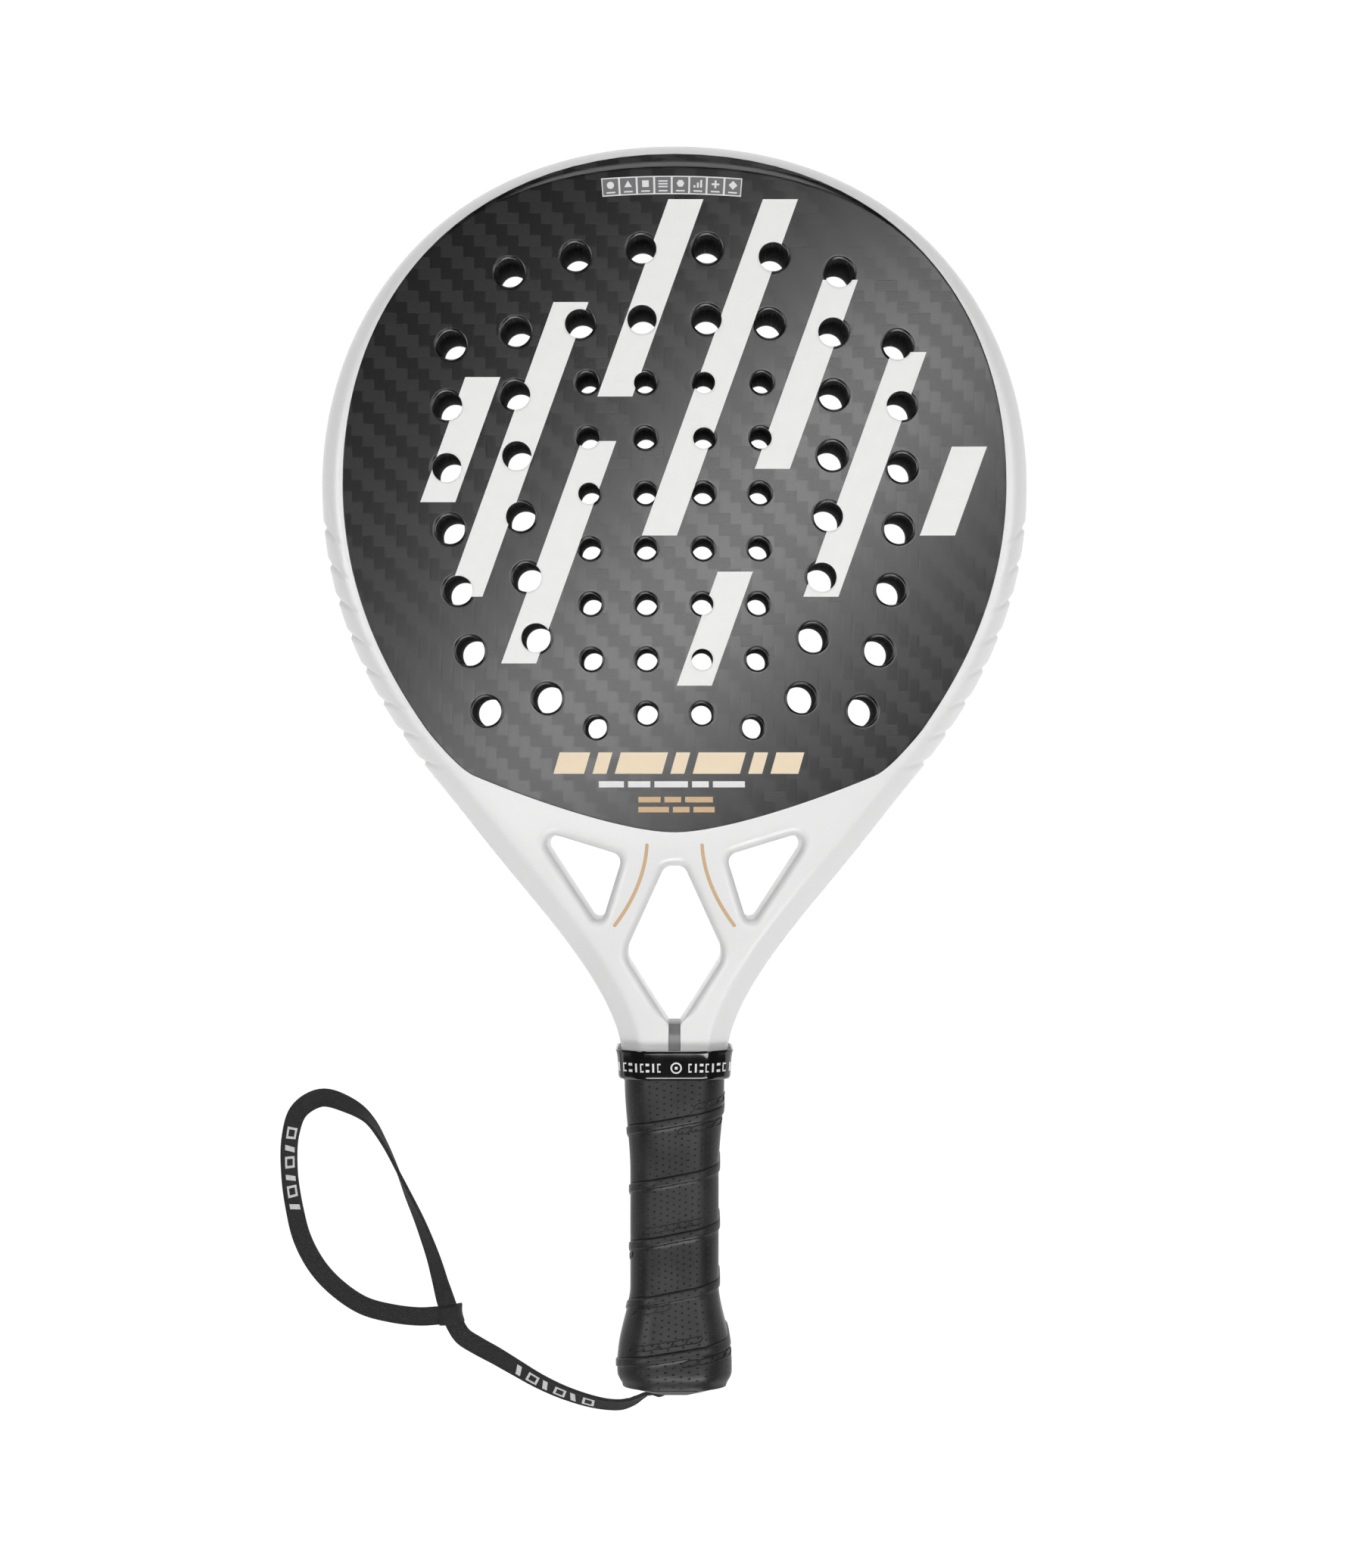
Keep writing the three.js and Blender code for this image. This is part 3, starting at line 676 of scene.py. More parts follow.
def on_strap(length, across, lengths):
    """A point of the print on the webbing's upper side."""
    place = np.interp(length, lengths, strap_places())
    middle, wide, thick = strap_frame(place)
    up = 1 if thick[2] > 0 else -1
    return middle + wide * across + thick * up * (STRAP_THICKNESS / 2 * MIDDLE_SHARE + INK)


# Two printed stretches, as places along the route, and the size of their marks.
STRAP_PRINTS = [(9.7, 13.2), (29.7, 32.1)]
STRAP_PRINT_MARKS = 6
MARK_OUTER = 2.0
MARK_INNER = 1.2
MARK_STROKE = 0.9
MARK_SLANT = 1.1


def strap_print():
    """Two plain rows of printed marks: open lozenges and short bars."""
    built = Builder()
    lengths = strap_lengths()

    def bar(start, stop, low, high, slant=0.0):
        steps = max(2, int((stop - start) / 0.6))
        spots = [mix(start, stop, k / steps) for k in range(steps + 1)]
        rows = []
        for across, shift in ((low, 0.0), (high, slant)):
            rows.append([on_strap(spot + shift, across, lengths) for spot in spots])
        built.grid(rows)

    places = strap_places()
    for stretch in STRAP_PRINTS:
        first, last = np.interp(stretch, places, lengths)
        step = (last - first) / STRAP_PRINT_MARKS
        for k in range(STRAP_PRINT_MARKS):
            start = first + k * step
            stop = start + step * 0.8
            if k % 2:
                bar(start + 0.2 * step, stop - 0.25 * step, -MARK_OUTER, MARK_OUTER, MARK_SLANT)
            else:
                bar(start, stop, -MARK_OUTER, -MARK_INNER)
                bar(start, stop, MARK_INNER, MARK_OUTER)
                bar(start, start + MARK_STROKE, -MARK_INNER, MARK_INNER)
                bar(stop - MARK_STROKE, stop, -MARK_INNER, MARK_INNER)
    return built


KEEPER_AT = (-83.1, -203.1)
KEEPER_TURN = radians(8)
KEEPER_LEFT = -4.9
KEEPER_RIGHT = 4.7
KEEPER_HALF = 3.45
KEEPER_LOW = 3.3
KEEPER_CLIMB = 1.5
KEEPER_CLIMB_END = -2.6
KEEPER_FOLD_FROM = 2.9
KEEPER_FLOOR_GAP = 0.15


def keeper_point(x, y, z):
    """A point from the keeper's own axes, X along the end of the strap that it is folded from."""
    c, s = cos(KEEPER_TURN), sin(KEEPER_TURN)
    return (KEEPER_AT[0] + x * c - y * s, KEEPER_AT[1] + x * s + y * c, z)


def keeper_height(x):
    """Top of the folded webbing: it climbs over the standing strap and turns down at the fold."""
    climb = KEEPER_LOW + KEEPER_CLIMB * smoothstep(KEEPER_LEFT, KEEPER_CLIMB_END, x)
    fold = max(0.0, (x - KEEPER_FOLD_FROM) / (KEEPER_RIGHT - KEEPER_FOLD_FROM))
    return climb * sqrt(max(0.0, 1 - (0.93 * fold) ** 2))


def strap_keeper():
    """The end of the strap, folded around its own standing part and sewn."""
    built = Builder()
    rows = []
    steps_x, steps_y = 26, 14
    for k in range(steps_y + 1):
        v = 2 * k / steps_y - 1
        row = []
        for j in range(steps_x + 1):
            t = j / steps_x
            waist = 1 + 0.03 * smoothstep(0.6, 1, t)
            right = KEEPER_RIGHT - 0.7 * (1 - v * v) - 0.45 * v ** 8
            x = mix(KEEPER_LEFT, right, t)
            top = keeper_height(mix(KEEPER_LEFT, KEEPER_RIGHT, t))
            edge = 1 - max(0, abs(v) - 0.86) / 0.14 * 0.22
            row.append((x, v * KEEPER_HALF * waist, top * edge))
        rows.append(row)

    def spot(r, k):
        return (mix(-KEEPER_HALF, KEEPER_HALF, r / steps_y) * MM, k * 0.37 * MM)

    top = [[keeper_point(*p) for p in row] for row in rows]
    low = [[keeper_point(x, y, KEEPER_FLOOR_GAP) for x, y, _ in row] for row in rows]
    built.grid(top, uv=spot)
    built.grid(low, uv=spot)
    for edge in (0, -1):
        built.grid([low[edge], top[edge]], uv=spot)
        built.grid([[row[edge] for row in low], [row[edge] for row in top]], uv=spot)
    return built


STITCH_STEP = 1.2
STITCH_LENGTH = 0.8
STITCH_ARCH = 0.16
STITCH_HALF = 0.14


def keeper_stitches():
    """Two rows of lockstitch that hold the fold closed."""
    built = Builder()
    for x in (-3.9, -2.7):
        for k in range(5):
            rows = []
            for j in range(5):
                y = -2.8 + STITCH_STEP * k + STITCH_LENGTH * j / 4
                z = keeper_height(x) + STITCH_ARCH * sin(pi * j / 4) + 0.02
                thread = [(-STITCH_HALF, z - 0.1), (0, z), (STITCH_HALF, z - 0.1)]
                rows.append([keeper_point(x + across, y, height) for across, height in thread])
            built.grid(rows)
    return built


strap = add_piece("wrist_strap_webbing", wrist_strap(), [WEBBING], ["wrist_strap"])
keeper = add_piece("strap_keeper_fold", strap_keeper(), [WEBBING], ["strap_keeper"], 50)
stitches = add_piece("keeper_stitches", keeper_stitches(), [WEBBING])
strap_marks = add_piece("strap_marks", strap_print(), [WEBBING_PRINT])

# ---- camera, light and floor ---------------------------------------------------------------

CAMERA_Y = -5.38 * MM
CAMERA_HEIGHT = 1.036
CAMERA_FIELD = radians(31.56)


def add_camera():
    """A camera straight above the racket, looking down."""
    data = bpy.data.cameras.new("camera")
    data.sensor_fit = "VERTICAL"
    data.sensor_height = 36
    data.lens = data.sensor_height / 2 / tan(CAMERA_FIELD / 2)
    data.clip_start = 0.01
    camera = add_object("camera", data)
    camera.location = (0, CAMERA_Y, CAMERA_HEIGHT)
    bpy.context.scene.camera = camera


def add_light(name, place, target, size, watts, turn=0):
    """A soft box aimed at a target, turned in degrees about its own axis."""
    data = bpy.data.lights.new(name, "AREA")
    data.shape = "RECTANGLE"
    data.size, data.size_y = size
    data.energy = watts
    way = Vector(target) - Vector(place)
    aim = way.to_track_quat("-Z", "Y").to_matrix().to_4x4()
    spin = Matrix.Rotation(radians(turn), 4, "Z")
    add_object(name, data).matrix_world = Matrix.Translation(place) @ aim @ spin


FLOOR_HALF = 20000
FLOOR_DROP = 0.02
WALL_HEIGHT = 12000


def add_stage(name, built, material):
    """Something around the racket that is not part of it."""
    piece = add_object(name, make_mesh(name, built))
    piece.data.materials.append(material)
    return piece


def add_floor():
    """A pale light table: it glows a little, so the open holes and windows read as white."""
    made = Finish("pale_floor", (0.06, 0.06, 0.06), 0.9, emission=1.0, specular=0.1)
    made.surface.inputs["Emission Color"].default_value = (1, 1, 1, 1)
    corners = [(-1, -1), (1, -1), (1, 1), (-1, 1)]
    foot = [(x * FLOOR_HALF, y * FLOOR_HALF, -FLOOR_DROP) for x, y in corners]
    floor = Builder()
    floor.face(foot)
    add_stage("floor", floor, made.material)
    # the walls around it are only a background: they light nothing and are mirrored by nothing
    walls = Builder()
    walls.grid([foot, [(x, y, WALL_HEIGHT) for x, y, _ in foot]], ringed=True)
    backdrop = add_stage("backdrop", walls, made.material)
    backdrop.visible_diffuse = False
    backdrop.visible_glossy = False
    backdrop.visible_transmission = False
    backdrop.visible_shadow = False


# from and to along Y, and the light level at each
WORLD_RANGE = (-0.9, 0.5, 0.42, 0.04)


def add_world():
    """Dim surroundings that are a little brighter on the side of the butt."""
    world = bpy.data.worlds.new("studio")
    bpy.context.scene.world = world
    world.use_nodes = True
    tree = world.node_tree
    place = tree.nodes.new("ShaderNodeTexCoord")
    split = tree.nodes.new("ShaderNodeSeparateXYZ")
    level = tree.nodes.new("ShaderNodeMapRange")
    tree.links.new(place.outputs["Generated"], split.inputs[0])
    tree.links.new(split.outputs[1], level.inputs[0])
    for socket, value in zip(list(level.inputs)[1:5], WORLD_RANGE):
        socket.default_value = value
    tree.links.new(level.outputs[0], tree.nodes["Background"].inputs[1])


add_camera()
add_floor()
add_world()
add_light("key_below", (0.22, -0.95, 1.15), (0, -0.05, 0), (0.9, 0.5), 10.9)
add_light("fill_left", (-1.0, 0.1, 1.5), (0, 0, 0), (0.7, 0.9), 9.2)
add_light("fill_right", (1.0, 0.1, 1.5), (0, 0, 0), (0.7, 0.9), 7.4)
add_light("fill_above", (0, 1.5, 0.9), (0, 0.2, 0), (1.0, 0.4), 4.6)
add_light("strip_above", (0.07, 0.31, 3.0), (0.07, 0.31, 0), (1.18, 0.2), 11.0, 47)
bpy.context.scene.view_settings.view_transform = "Standard"

# ---- outline of the racket -----------------------------------------------------------------

CROWN_ROUND = 13.0
CROWN_FULLNESS = 2.1
RIM_ROUND = 9.2
CROWN_ROLL_HALF = 92.0
FLANK_RIDGE = 7.3
FLANK_FOOT = 0.62
FLANK_BLUR = 2.6
NOTCH_FIRST_Y = 88.0
NOTCH_STEP = 13.45
NOTCHES = 8
NOTCH_DEPTH = 1.08
NOTCH_REACH = 7.4
NOTCH_SLANT = 1.25
NOTCH_ABOVE = 3.1
NOTCH_BELOW = 1.0
NOTCH_HOLLOW = 1.15
LEVELS = 18


def racket_half():
    """Right half of the silhouette from the crown down: rows of x, y and inward normal."""
    arm_way = np.subtract(ARM_TOP, ARM_FOOT)
    arm_way = arm_way / np.linalg.norm(arm_way)
    widest = (HEAD_HALF_WIDTH, WIDEST_Y)
    neck_end = (NECK_HALF_WIDTH, NECK_Y)
    crown = [(0, CROWN_Y), (82, CROWN_Y), (HEAD_HALF_WIDTH, WIDEST_Y + 65.3), widest]
    cheek = [widest, (HEAD_HALF_WIDTH, WIDEST_Y - 43.5), ARM_TOP + arm_way * 38.8, ARM_TOP]
    neck = [ARM_FOOT, ARM_FOOT - arm_way * 20.3, (NECK_HALF_WIDTH + 1.9, NECK_Y + 16.2), neck_end]
    foot = [neck_end, (NECK_HALF_WIDTH - 0.2, NECK_BOTTOM_Y)]
    rows = []
    runs = [(crown, 72), (cheek, 270), ([ARM_TOP, ARM_FOOT], 22), (neck, 44), (foot, 1)]
    for controls, steps in runs:
        for k in range(1 if rows else 0, steps + 1):
            (x, y), (dx, dy) = bezier(controls, k / steps)
            rows.append((x, y, dy, -dx))
    return np.array(rows)


HALF = racket_half()
ARC = np.concatenate([[0], np.cumsum(np.hypot(*np.diff(HALF[:, :2], axis=0).T))])


def rim_width(y):
    """How far in from the silhouette the face begins."""
    return mix(RIM_AT_CROWN, RIM_AT_SIDE, smoothstep(0, CROWN_Y - WIDEST_Y, CROWN_Y - y))


def crown_share(x, y):
    """1 at the crown, falling to 0 where the face stops rolling over towards the rim."""
    return max(0.0, 1 - (x / CROWN_ROLL_HALF) ** 2) ** 1.5 if y > WIDEST_Y else 0.0


def half_thickness(y):
    """Height of the front over the middle plane: the throat runs down to the thinner neck."""
    return NECK_HALF_DEPTH + (MID_Z - NECK_HALF_DEPTH) * smoothstep(-104, -24, y)


def soft_polyline(points, count, blur):
    """Evenly spaced points along a polyline whose corners are blurred round."""
    points = np.array(points, float)
    reach = np.concatenate([[0], np.cumsum(np.hypot(*np.diff(points, axis=0).T))])
    fine = np.linspace(-blur, reach[-1] + blur, 400)
    dense = np.array([np.interp(fine, reach, points[:, k]) for k in (0, 1)])
    width = max(1, int(blur / (fine[1] - fine[0])))
    kernel = np.ones(width) / width
    soft = np.array([np.convolve(row, kernel, "same") for row in dense])
    wanted = np.linspace(0, reach[-1], count)
    return np.array([np.interp(wanted, fine, row) for row in soft]).T


def rim_profile(x, y):
    """Inset from the silhouette and height over the middle plane, from the side to the front."""
    share = crown_share(x, y)
    reach = mix(RIM_ROUND, CROWN_ROUND, share)
    width = min(reach, rim_width(y))
    power = 2 / mix(RIM_FULLNESS, CROWN_FULLNESS, share)
    end = acos((1 - width / reach) ** (1 / power)) if width < reach else pi / 2
    angles = np.linspace(0, end, LEVELS + 1)
    depth = half_thickness(y)
    head = np.array([reach * (1 - np.cos(angles) ** power), depth * np.sin(angles) ** power]).T
    throat_share = smoothstep(-20, 35, -y)
    if throat_share == 0:
        return head
    # at the throat the side stands straight, then a flat flank leans in to the level top
    ridge = [(0, 0), (0, FLANK_FOOT * depth), (FLANK_RIDGE, depth), (FLANK_RIDGE + 1.5, depth)]
    throat = soft_polyline(ridge, LEVELS + 1, FLANK_BLUR)
    throat[-1] = ridge[-1]
    throat[0] = ridge[0]
    return mix(head, throat, throat_share)


NOTCH_ARCS = np.interp(-NOTCH_FIRST_Y, -HALF[:, 1], ARC) + NOTCH_STEP * np.arange(NOTCHES)


def notch_depth(arc, inset):
    """Depth of the slanted leaf-shaped notches cut into the lower sides of the frame."""
    fade = 1 - inset / NOTCH_REACH
    if fade <= 0:
        return 0.0
    along = arc - NOTCH_ARCS - NOTCH_SLANT * inset
    away = np.where(along < 0, -along / (NOTCH_ABOVE * (0.45 + 0.55 * fade)), along / NOTCH_BELOW)
    nearest = float(np.min(away))
    return NOTCH_DEPTH * sqrt(fade) * (1 - nearest) ** NOTCH_HOLLOW if nearest < 1 else 0.0


def rim_rows():
    """The front quarter of the frame's outside, one row of levels for each outline point."""
    rows = []
    for k, ((x, y, nx, ny), arc) in enumerate(zip(HALF, ARC)):
        profile = rim_profile(x, y)
        slopes = np.gradient(profile, axis=0)
        row = []
        for (inset, height), (run, rise) in zip(profile, slopes):
            depth = notch_depth(arc, inset)
            size = hypot(run, rise) or 1
            q = inset + depth * rise / size
            z = height - depth * run / size
            px = 0.0 if x == 0 else x + nx * q
            row.append((px, y + ny * q, z))
        if k >= FACE_TURN_FROM:
            # here the rim runs level into the throat
            level = half_thickness(row[-1][1]) / row[-1][2]
            row = [(px, py, z * level) for px, py, z in row]
        rows.append(row)
    return rows


def rim_edge(k):
    """Inner edge of the rim, where the face begins: x, y and height over the middle plane."""
    x, y, nx, ny = HALF[k]
    inset, height = rim_profile(x, y)[-1]
    return (0.0 if x == 0 else x + nx * inset, y + ny * inset, height)


RIM_EDGES = [rim_edge(k) for k in range(len(HALF))]
FACE_TURN_FROM = next(k for k, edge in enumerate(RIM_EDGES) if edge[1] < 13.7)


def face_half():
    """Right half of the face's outline from the crown down."""
    rim = [edge[:2] for edge in RIM_EDGES[:FACE_TURN_FROM + 1]]
    turn = bezier_points([rim[-1], (77.6, 0), (72.2, -2.4)], 9)
    bottom = bezier_points([(72.2, -2.4), (47, -13), (16, FACE_BOTTOM_Y), (0, FACE_BOTTOM_Y)], 26)
    return rim, [tuple(p) for p in turn[1:]] + [tuple(p) for p in bottom[1:]]


# ---- windows of the throat -----------------------------------------------------------------

WINDOW_EDGE = 3.5
WINDOW_EDGE_DROP = 3.6
SLOT_EDGE = 0.15
EDGE_STEPS = 7


def points_between(start, end, spacing):
    """Evenly spaced points inside a straight stretch."""
    fill = int(np.linalg.norm(end - start) / spacing)
    return [start + (end - start) * k / (fill + 1) for k in range(1, fill + 1)]


def round_turn(start, corner, end, steps):
    """Part of a circle that leaves a corner's two sides at their given ends."""
    inward, outward = corner - start, end - corner
    size = np.linalg.norm(inward) * np.linalg.norm(outward)
    turn = acos(max(-1, min(1, float(inward.dot(outward) / size))))
    handle = 4 / 3 * tan(turn / 4) / tan(turn / 2)
    return bezier_points([start, start + inward * handle, end - outward * handle, end], steps)


TURN_STEPS = 8
PATH_SPACING = 2.2


def rounded_path(corners, closed):
    """Points along a path of corners [x, y, reach], rounded from reach before each corner."""
    points = []
    count = len(corners)
    for i, (x, y, reach) in enumerate(corners):
        here = np.array((x, y), float)
        before, after = np.array(corners[i - 1][:2]), np.array(corners[(i + 1) % count][:2])
        if not closed and i in (0, count - 1):
            piece = [here]
        else:
            start = here + (before - here) / np.linalg.norm(before - here) * reach
            end = here + (after - here) / np.linalg.norm(after - here) * reach
            piece = round_turn(start, here, end, TURN_STEPS)
        if points:
            points.extend(points_between(points[-1], piece[0], PATH_SPACING))
        points.extend(piece)
    if closed:
        points.extend(points_between(points[-1], points[0], PATH_SPACING))
    return np.array(points)


def path_normals(points, closed, away_from):
    """Unit normals that point away from a place inside the window."""
    normals = right_of(around(points) if closed else np.gradient(points, axis=0))
    flip = np.sum(normals * (points - away_from)) < 0
    return -normals if flip else normals


def window_rows(points, normals, shares):
    """Rounded edge of a window, from the front plane down to the middle plane. A share of 1 has
    the full rounding of a window, and 0 the small one of the slot.
    """
    rows = []
    for k in range(EDGE_STEPS, -1, -1):
        angle = pi / 2 * k / EDGE_STEPS
        row = []
        for (x, y), (nx, ny), share in zip(points, normals, shares):
            q = mix(SLOT_EDGE, WINDOW_EDGE, share) * (1 - cos(angle))
            drop = mix(SLOT_EDGE, WINDOW_EDGE_DROP, share) * (1 - sin(angle))
            px, py = x + nx * q, y + ny * q
            row.append((px, py, half_thickness(py) - drop))
        rows.append(row)
    rows.append([(x, y, 0.0) for x, y, _ in rows[-1]])
    return rows


def side_window_rows():
    """The three-cornered window right of the centre one."""
    points = rounded_path([(18.7, -31.2, 3.5), (26.8, -57.6, 5.5), (50.4, -21.4, 9)], True)
    normals = path_normals(points, True, points.mean(axis=0))
    return window_rows(points, normals, [1] * len(points))


def centre_window_rows():
    """Right half of the centre window, from its top middle down into the slot of the neck."""
    corners = [
        (0, -34.9, 0), (3.5, -34.9, 2.4), (16.9, -64.4, 2.1), (16.9, -69, 2.1),
        (SLOT_HALF_WIDTH, THROAT_FLOOR_Y + 0.25, 0.8), (SLOT_HALF_WIDTH, NECK_BOTTOM_Y, 0),
    ]
    points = rounded_path(corners, False)
    normals = path_normals(points, False, np.array((0.0, -60.0)))
    normals[0] = (0, 1)
    shares = [smoothstep(THROAT_FLOOR_Y + 0.5, THROAT_FLOOR_Y + 8, y) for _, y in points]
    return window_rows(points, normals, shares)


# ---- frame ---------------------------------------------------------------------------------

BRIDGE_SIDE = [(58, 2), (40, -23.5), (25.2, -55.5), (14, -70)]
THROAT_REGION = BRIDGE_SIDE + [(-x, y) for x, y in reversed(BRIDGE_SIDE)]
PLATE_SPACING = 3.2
PLATE_CLEAR = 1.3
LEVEL_RING = 0.6


def frame_quarter():
    """Front right quarter of the lacquered frame, with heights over the middle plane."""
    built = Builder()
    rows = rim_rows()
    built.grid(rows)
    rim, below = face_half()
    edge = [(x, y, RIM_EDGES[k][2]) for k, (x, y) in enumerate(rim)]
    edge += [(x, y, half_thickness(y)) for x, y in below]
    built.grid([edge, [(x, y, 0.0) for x, y, _ in edge]])
    side, centre = side_window_rows(), centre_window_rows()
    built.grid(side, ringed=True)
    built.grid(centre)
    # the level plate between the rim, the windows and the face
    outer = [row[-1][:2] for row in rows[FACE_TURN_FROM:]]
    outer += [p[:2] for p in reversed(centre[0])]
    outer += reversed(below)
    window = np.array([p[:2] for p in side[0]])
    level_ring = window + path_normals(window, True, window.mean(axis=0)) * LEVEL_RING
    extra = grid_inside(outer, [], PLATE_SPACING, PLATE_CLEAR)
    extra = [p for p in extra if not inside([p], window)[0]]
    extra = [p for p in extra if np.min(np.hypot(*(window - p).T)) > PLATE_CLEAR]
    points, triangles, _ = triangulate(outer, [window], [level_ring], extra)
    for corners in triangles:
        built.face([(*points[c], half_thickness(points[c][1])) for c in corners])
    return built


def split_by_region(name, mesh, region):
    """Two meshes from one, inside and outside a region, that keep the shading of the whole."""
    corner_normals = [tuple(n.vector) for n in mesh.corner_normals]
    middles = [tuple(v / MM for v in polygon.center[:2]) for polygon in mesh.polygons]
    within = inside(middles, region)
    parts = []
    for label, wanted in (("outside", False), ("inside", True)):
        chosen = [p for p, is_in in zip(mesh.polygons, within) if is_in == wanted]
        used = sorted({v for p in chosen for v in p.vertices})
        renamed = {v: k for k, v in enumerate(used)}
        part = bpy.data.meshes.new(f"{name}_{label}")
        part.from_pydata(
            [tuple(mesh.vertices[v].co) for v in used], [],
            [[renamed[v] for v in p.vertices] for p in chosen])
        part.polygons.foreach_set("use_smooth", [True] * len(chosen))
        part.normals_split_custom_set([corner_normals[k] for p in chosen for k in p.loop_indices])
        parts.append(part)
    return parts


def add_frame():
    """The whole lacquered moulding from its quarter, split where the bridge meets the tube."""
    built = frame_quarter()
    built.mirrored(2)
    built.mirrored(0)
    built.points = [(x, y, z + MID_Z) for x, y, z in built.points]
    whole = make_mesh("frame_whole", built)
    tube, bridge = split_by_region("frame", whole, THROAT_REGION)
    place_piece("frame_tube_shell", tube, [WHITE], ["frame_tube"])
    place_piece("throat_bridge_shell", bridge, [WHITE], ["throat_bridge"])
    bpy.data.meshes.remove(whole)


add_frame()

# ---- hitting faces -------------------------------------------------------------------------

HOLE_SIDES = 40
# Each hole has a shallow dish around it: its width, its depth and the rings that shape it.
HOLE_DISH = 0.85
HOLE_DISH_DROP = 0.3
HOLE_DISH_RINGS = [0.15, 0.36, 0.6, 0.82, 1.0, 1.5]
FACE_LEVEL_RING = 0.5
FACE_SPACING = 7
FACE_CLEAR = 2.5
FACE_ROLL = 0.25
FACE_ROLL_AT_CROWN = 5.2
FACE_BELOW_RIM = 0.07
# Share of the roll's width and of its rise, from the rim inwards.
FACE_ROLL_PROFILE = [
    (0, 0), (0.03, 0.14), (0.08, 0.22), (0.5, 0.605), (0.91, 0.98), (0.96, 0.996), (1, 1),
]


# Arched rows of large holes: count, first x, step, growth of the step, radius and centre of the arch.
HOLE_ARCHES = [(3, 11.8, 23.75, 0, 201, -13.4), (4, 11.7, 22.2, 0.22, 348, -186)]
SMALL_HOLES_TOP = 139.1
SMALL_HOLES_STEP = 19.93


def hole_centres():
    """Two arched rows and two curved columns of large holes around a tapered grid of small ones."""
    right = []
    for count, first, step, growth, radius, centre in HOLE_ARCHES:
        for k in range(count):
            x = first + step * k + growth * k ** 2
            right.append((x, sqrt(radius ** 2 - x ** 2) + centre, LARGE_HOLE))
    for k in range(6):
        down = k / 5
        right.append((57.2 - 11.5 * down ** 2, 134.6 - 109.2 * down, LARGE_HOLE))
        right.append((82 - 19.5 * (down - 0.14) ** 2, 130.8 - 22.4 * k + 0.08 * k ** 2, LARGE_HOLE))
        for x in (10.7 - 0.14 * k, 31.4 - 0.32 * k):
            right.append((x, SMALL_HOLES_TOP - SMALL_HOLES_STEP * k, SMALL_HOLE))
    right += [(9.9, 19.9, SMALL_HOLE), (28.2, 14.9, SMALL_HOLE)]
    return right + [(-x, y, r) for x, y, r in right]


def circle(x, y, radius):
    """Outline of a drilled hole or of a ring around it."""
    return [(x + radius * cos(a), y + radius * sin(a)) for a in turns(HOLE_SIDES)]


def face_outline():
    """The face's whole outline: x, y, inward normal and the height of the frame's edge there."""
    rim, below = face_half()
    thinned = list(range(0, FACE_TURN_FROM, 3)) + [FACE_TURN_FROM]
    half = [(*rim[k], RIM_EDGES[k][2]) for k in thinned]
    half += [(x, y, half_thickness(y)) for x, y in below]
    loop = half + [(-x, y, h) for x, y, h in reversed(half[1:-1])]
    places = np.array(loop)
    return places, right_of(around(places[:, :2]))


FACE_PLACES, FACE_NORMALS = face_outline()


def face_loop(inset):
    """The face's outline, moved inwards."""
    return [tuple(p) for p in FACE_PLACES[:, :2] + FACE_NORMALS * inset]


STRIPE_WIDTH = 12.6
STRIPE_LEAN = 0.36


def stripe(x, low, high):
    """A slanted bar of the printed pattern, cut level at both ends."""
    foot, head = x + STRIPE_LEAN * low, x + STRIPE_LEAN * high
    return [(foot, low), (foot + STRIPE_WIDTH, low), (head + STRIPE_WIDTH, high), (head, high)]


STRIPES = [
    stripe(-126, 96, 141), stripe(-104, 62, 168), stripe(-76, 38, 118), stripe(-76, 134, 205),
    stripe(-42, 84, 205), stripe(-10, 30, 71), stripe(-10, 108, 176), stripe(24, 62, 150),
    stripe(58, 84, 116),
]


def dish_drop(points, holes):
    """How far the face dips at each point towards the edge of the nearest hole."""
    points = np.array(points)
    drop = np.zeros(len(points))
    for x, y, radius in holes:
        share = (np.hypot(points[:, 0] - x, points[:, 1] - y) - radius) / HOLE_DISH
        near = share < 1
        rise = np.clip(share[near], 0, 1)
        drop[near] = HOLE_DISH_DROP * (1 - rise) ** 2
    return drop


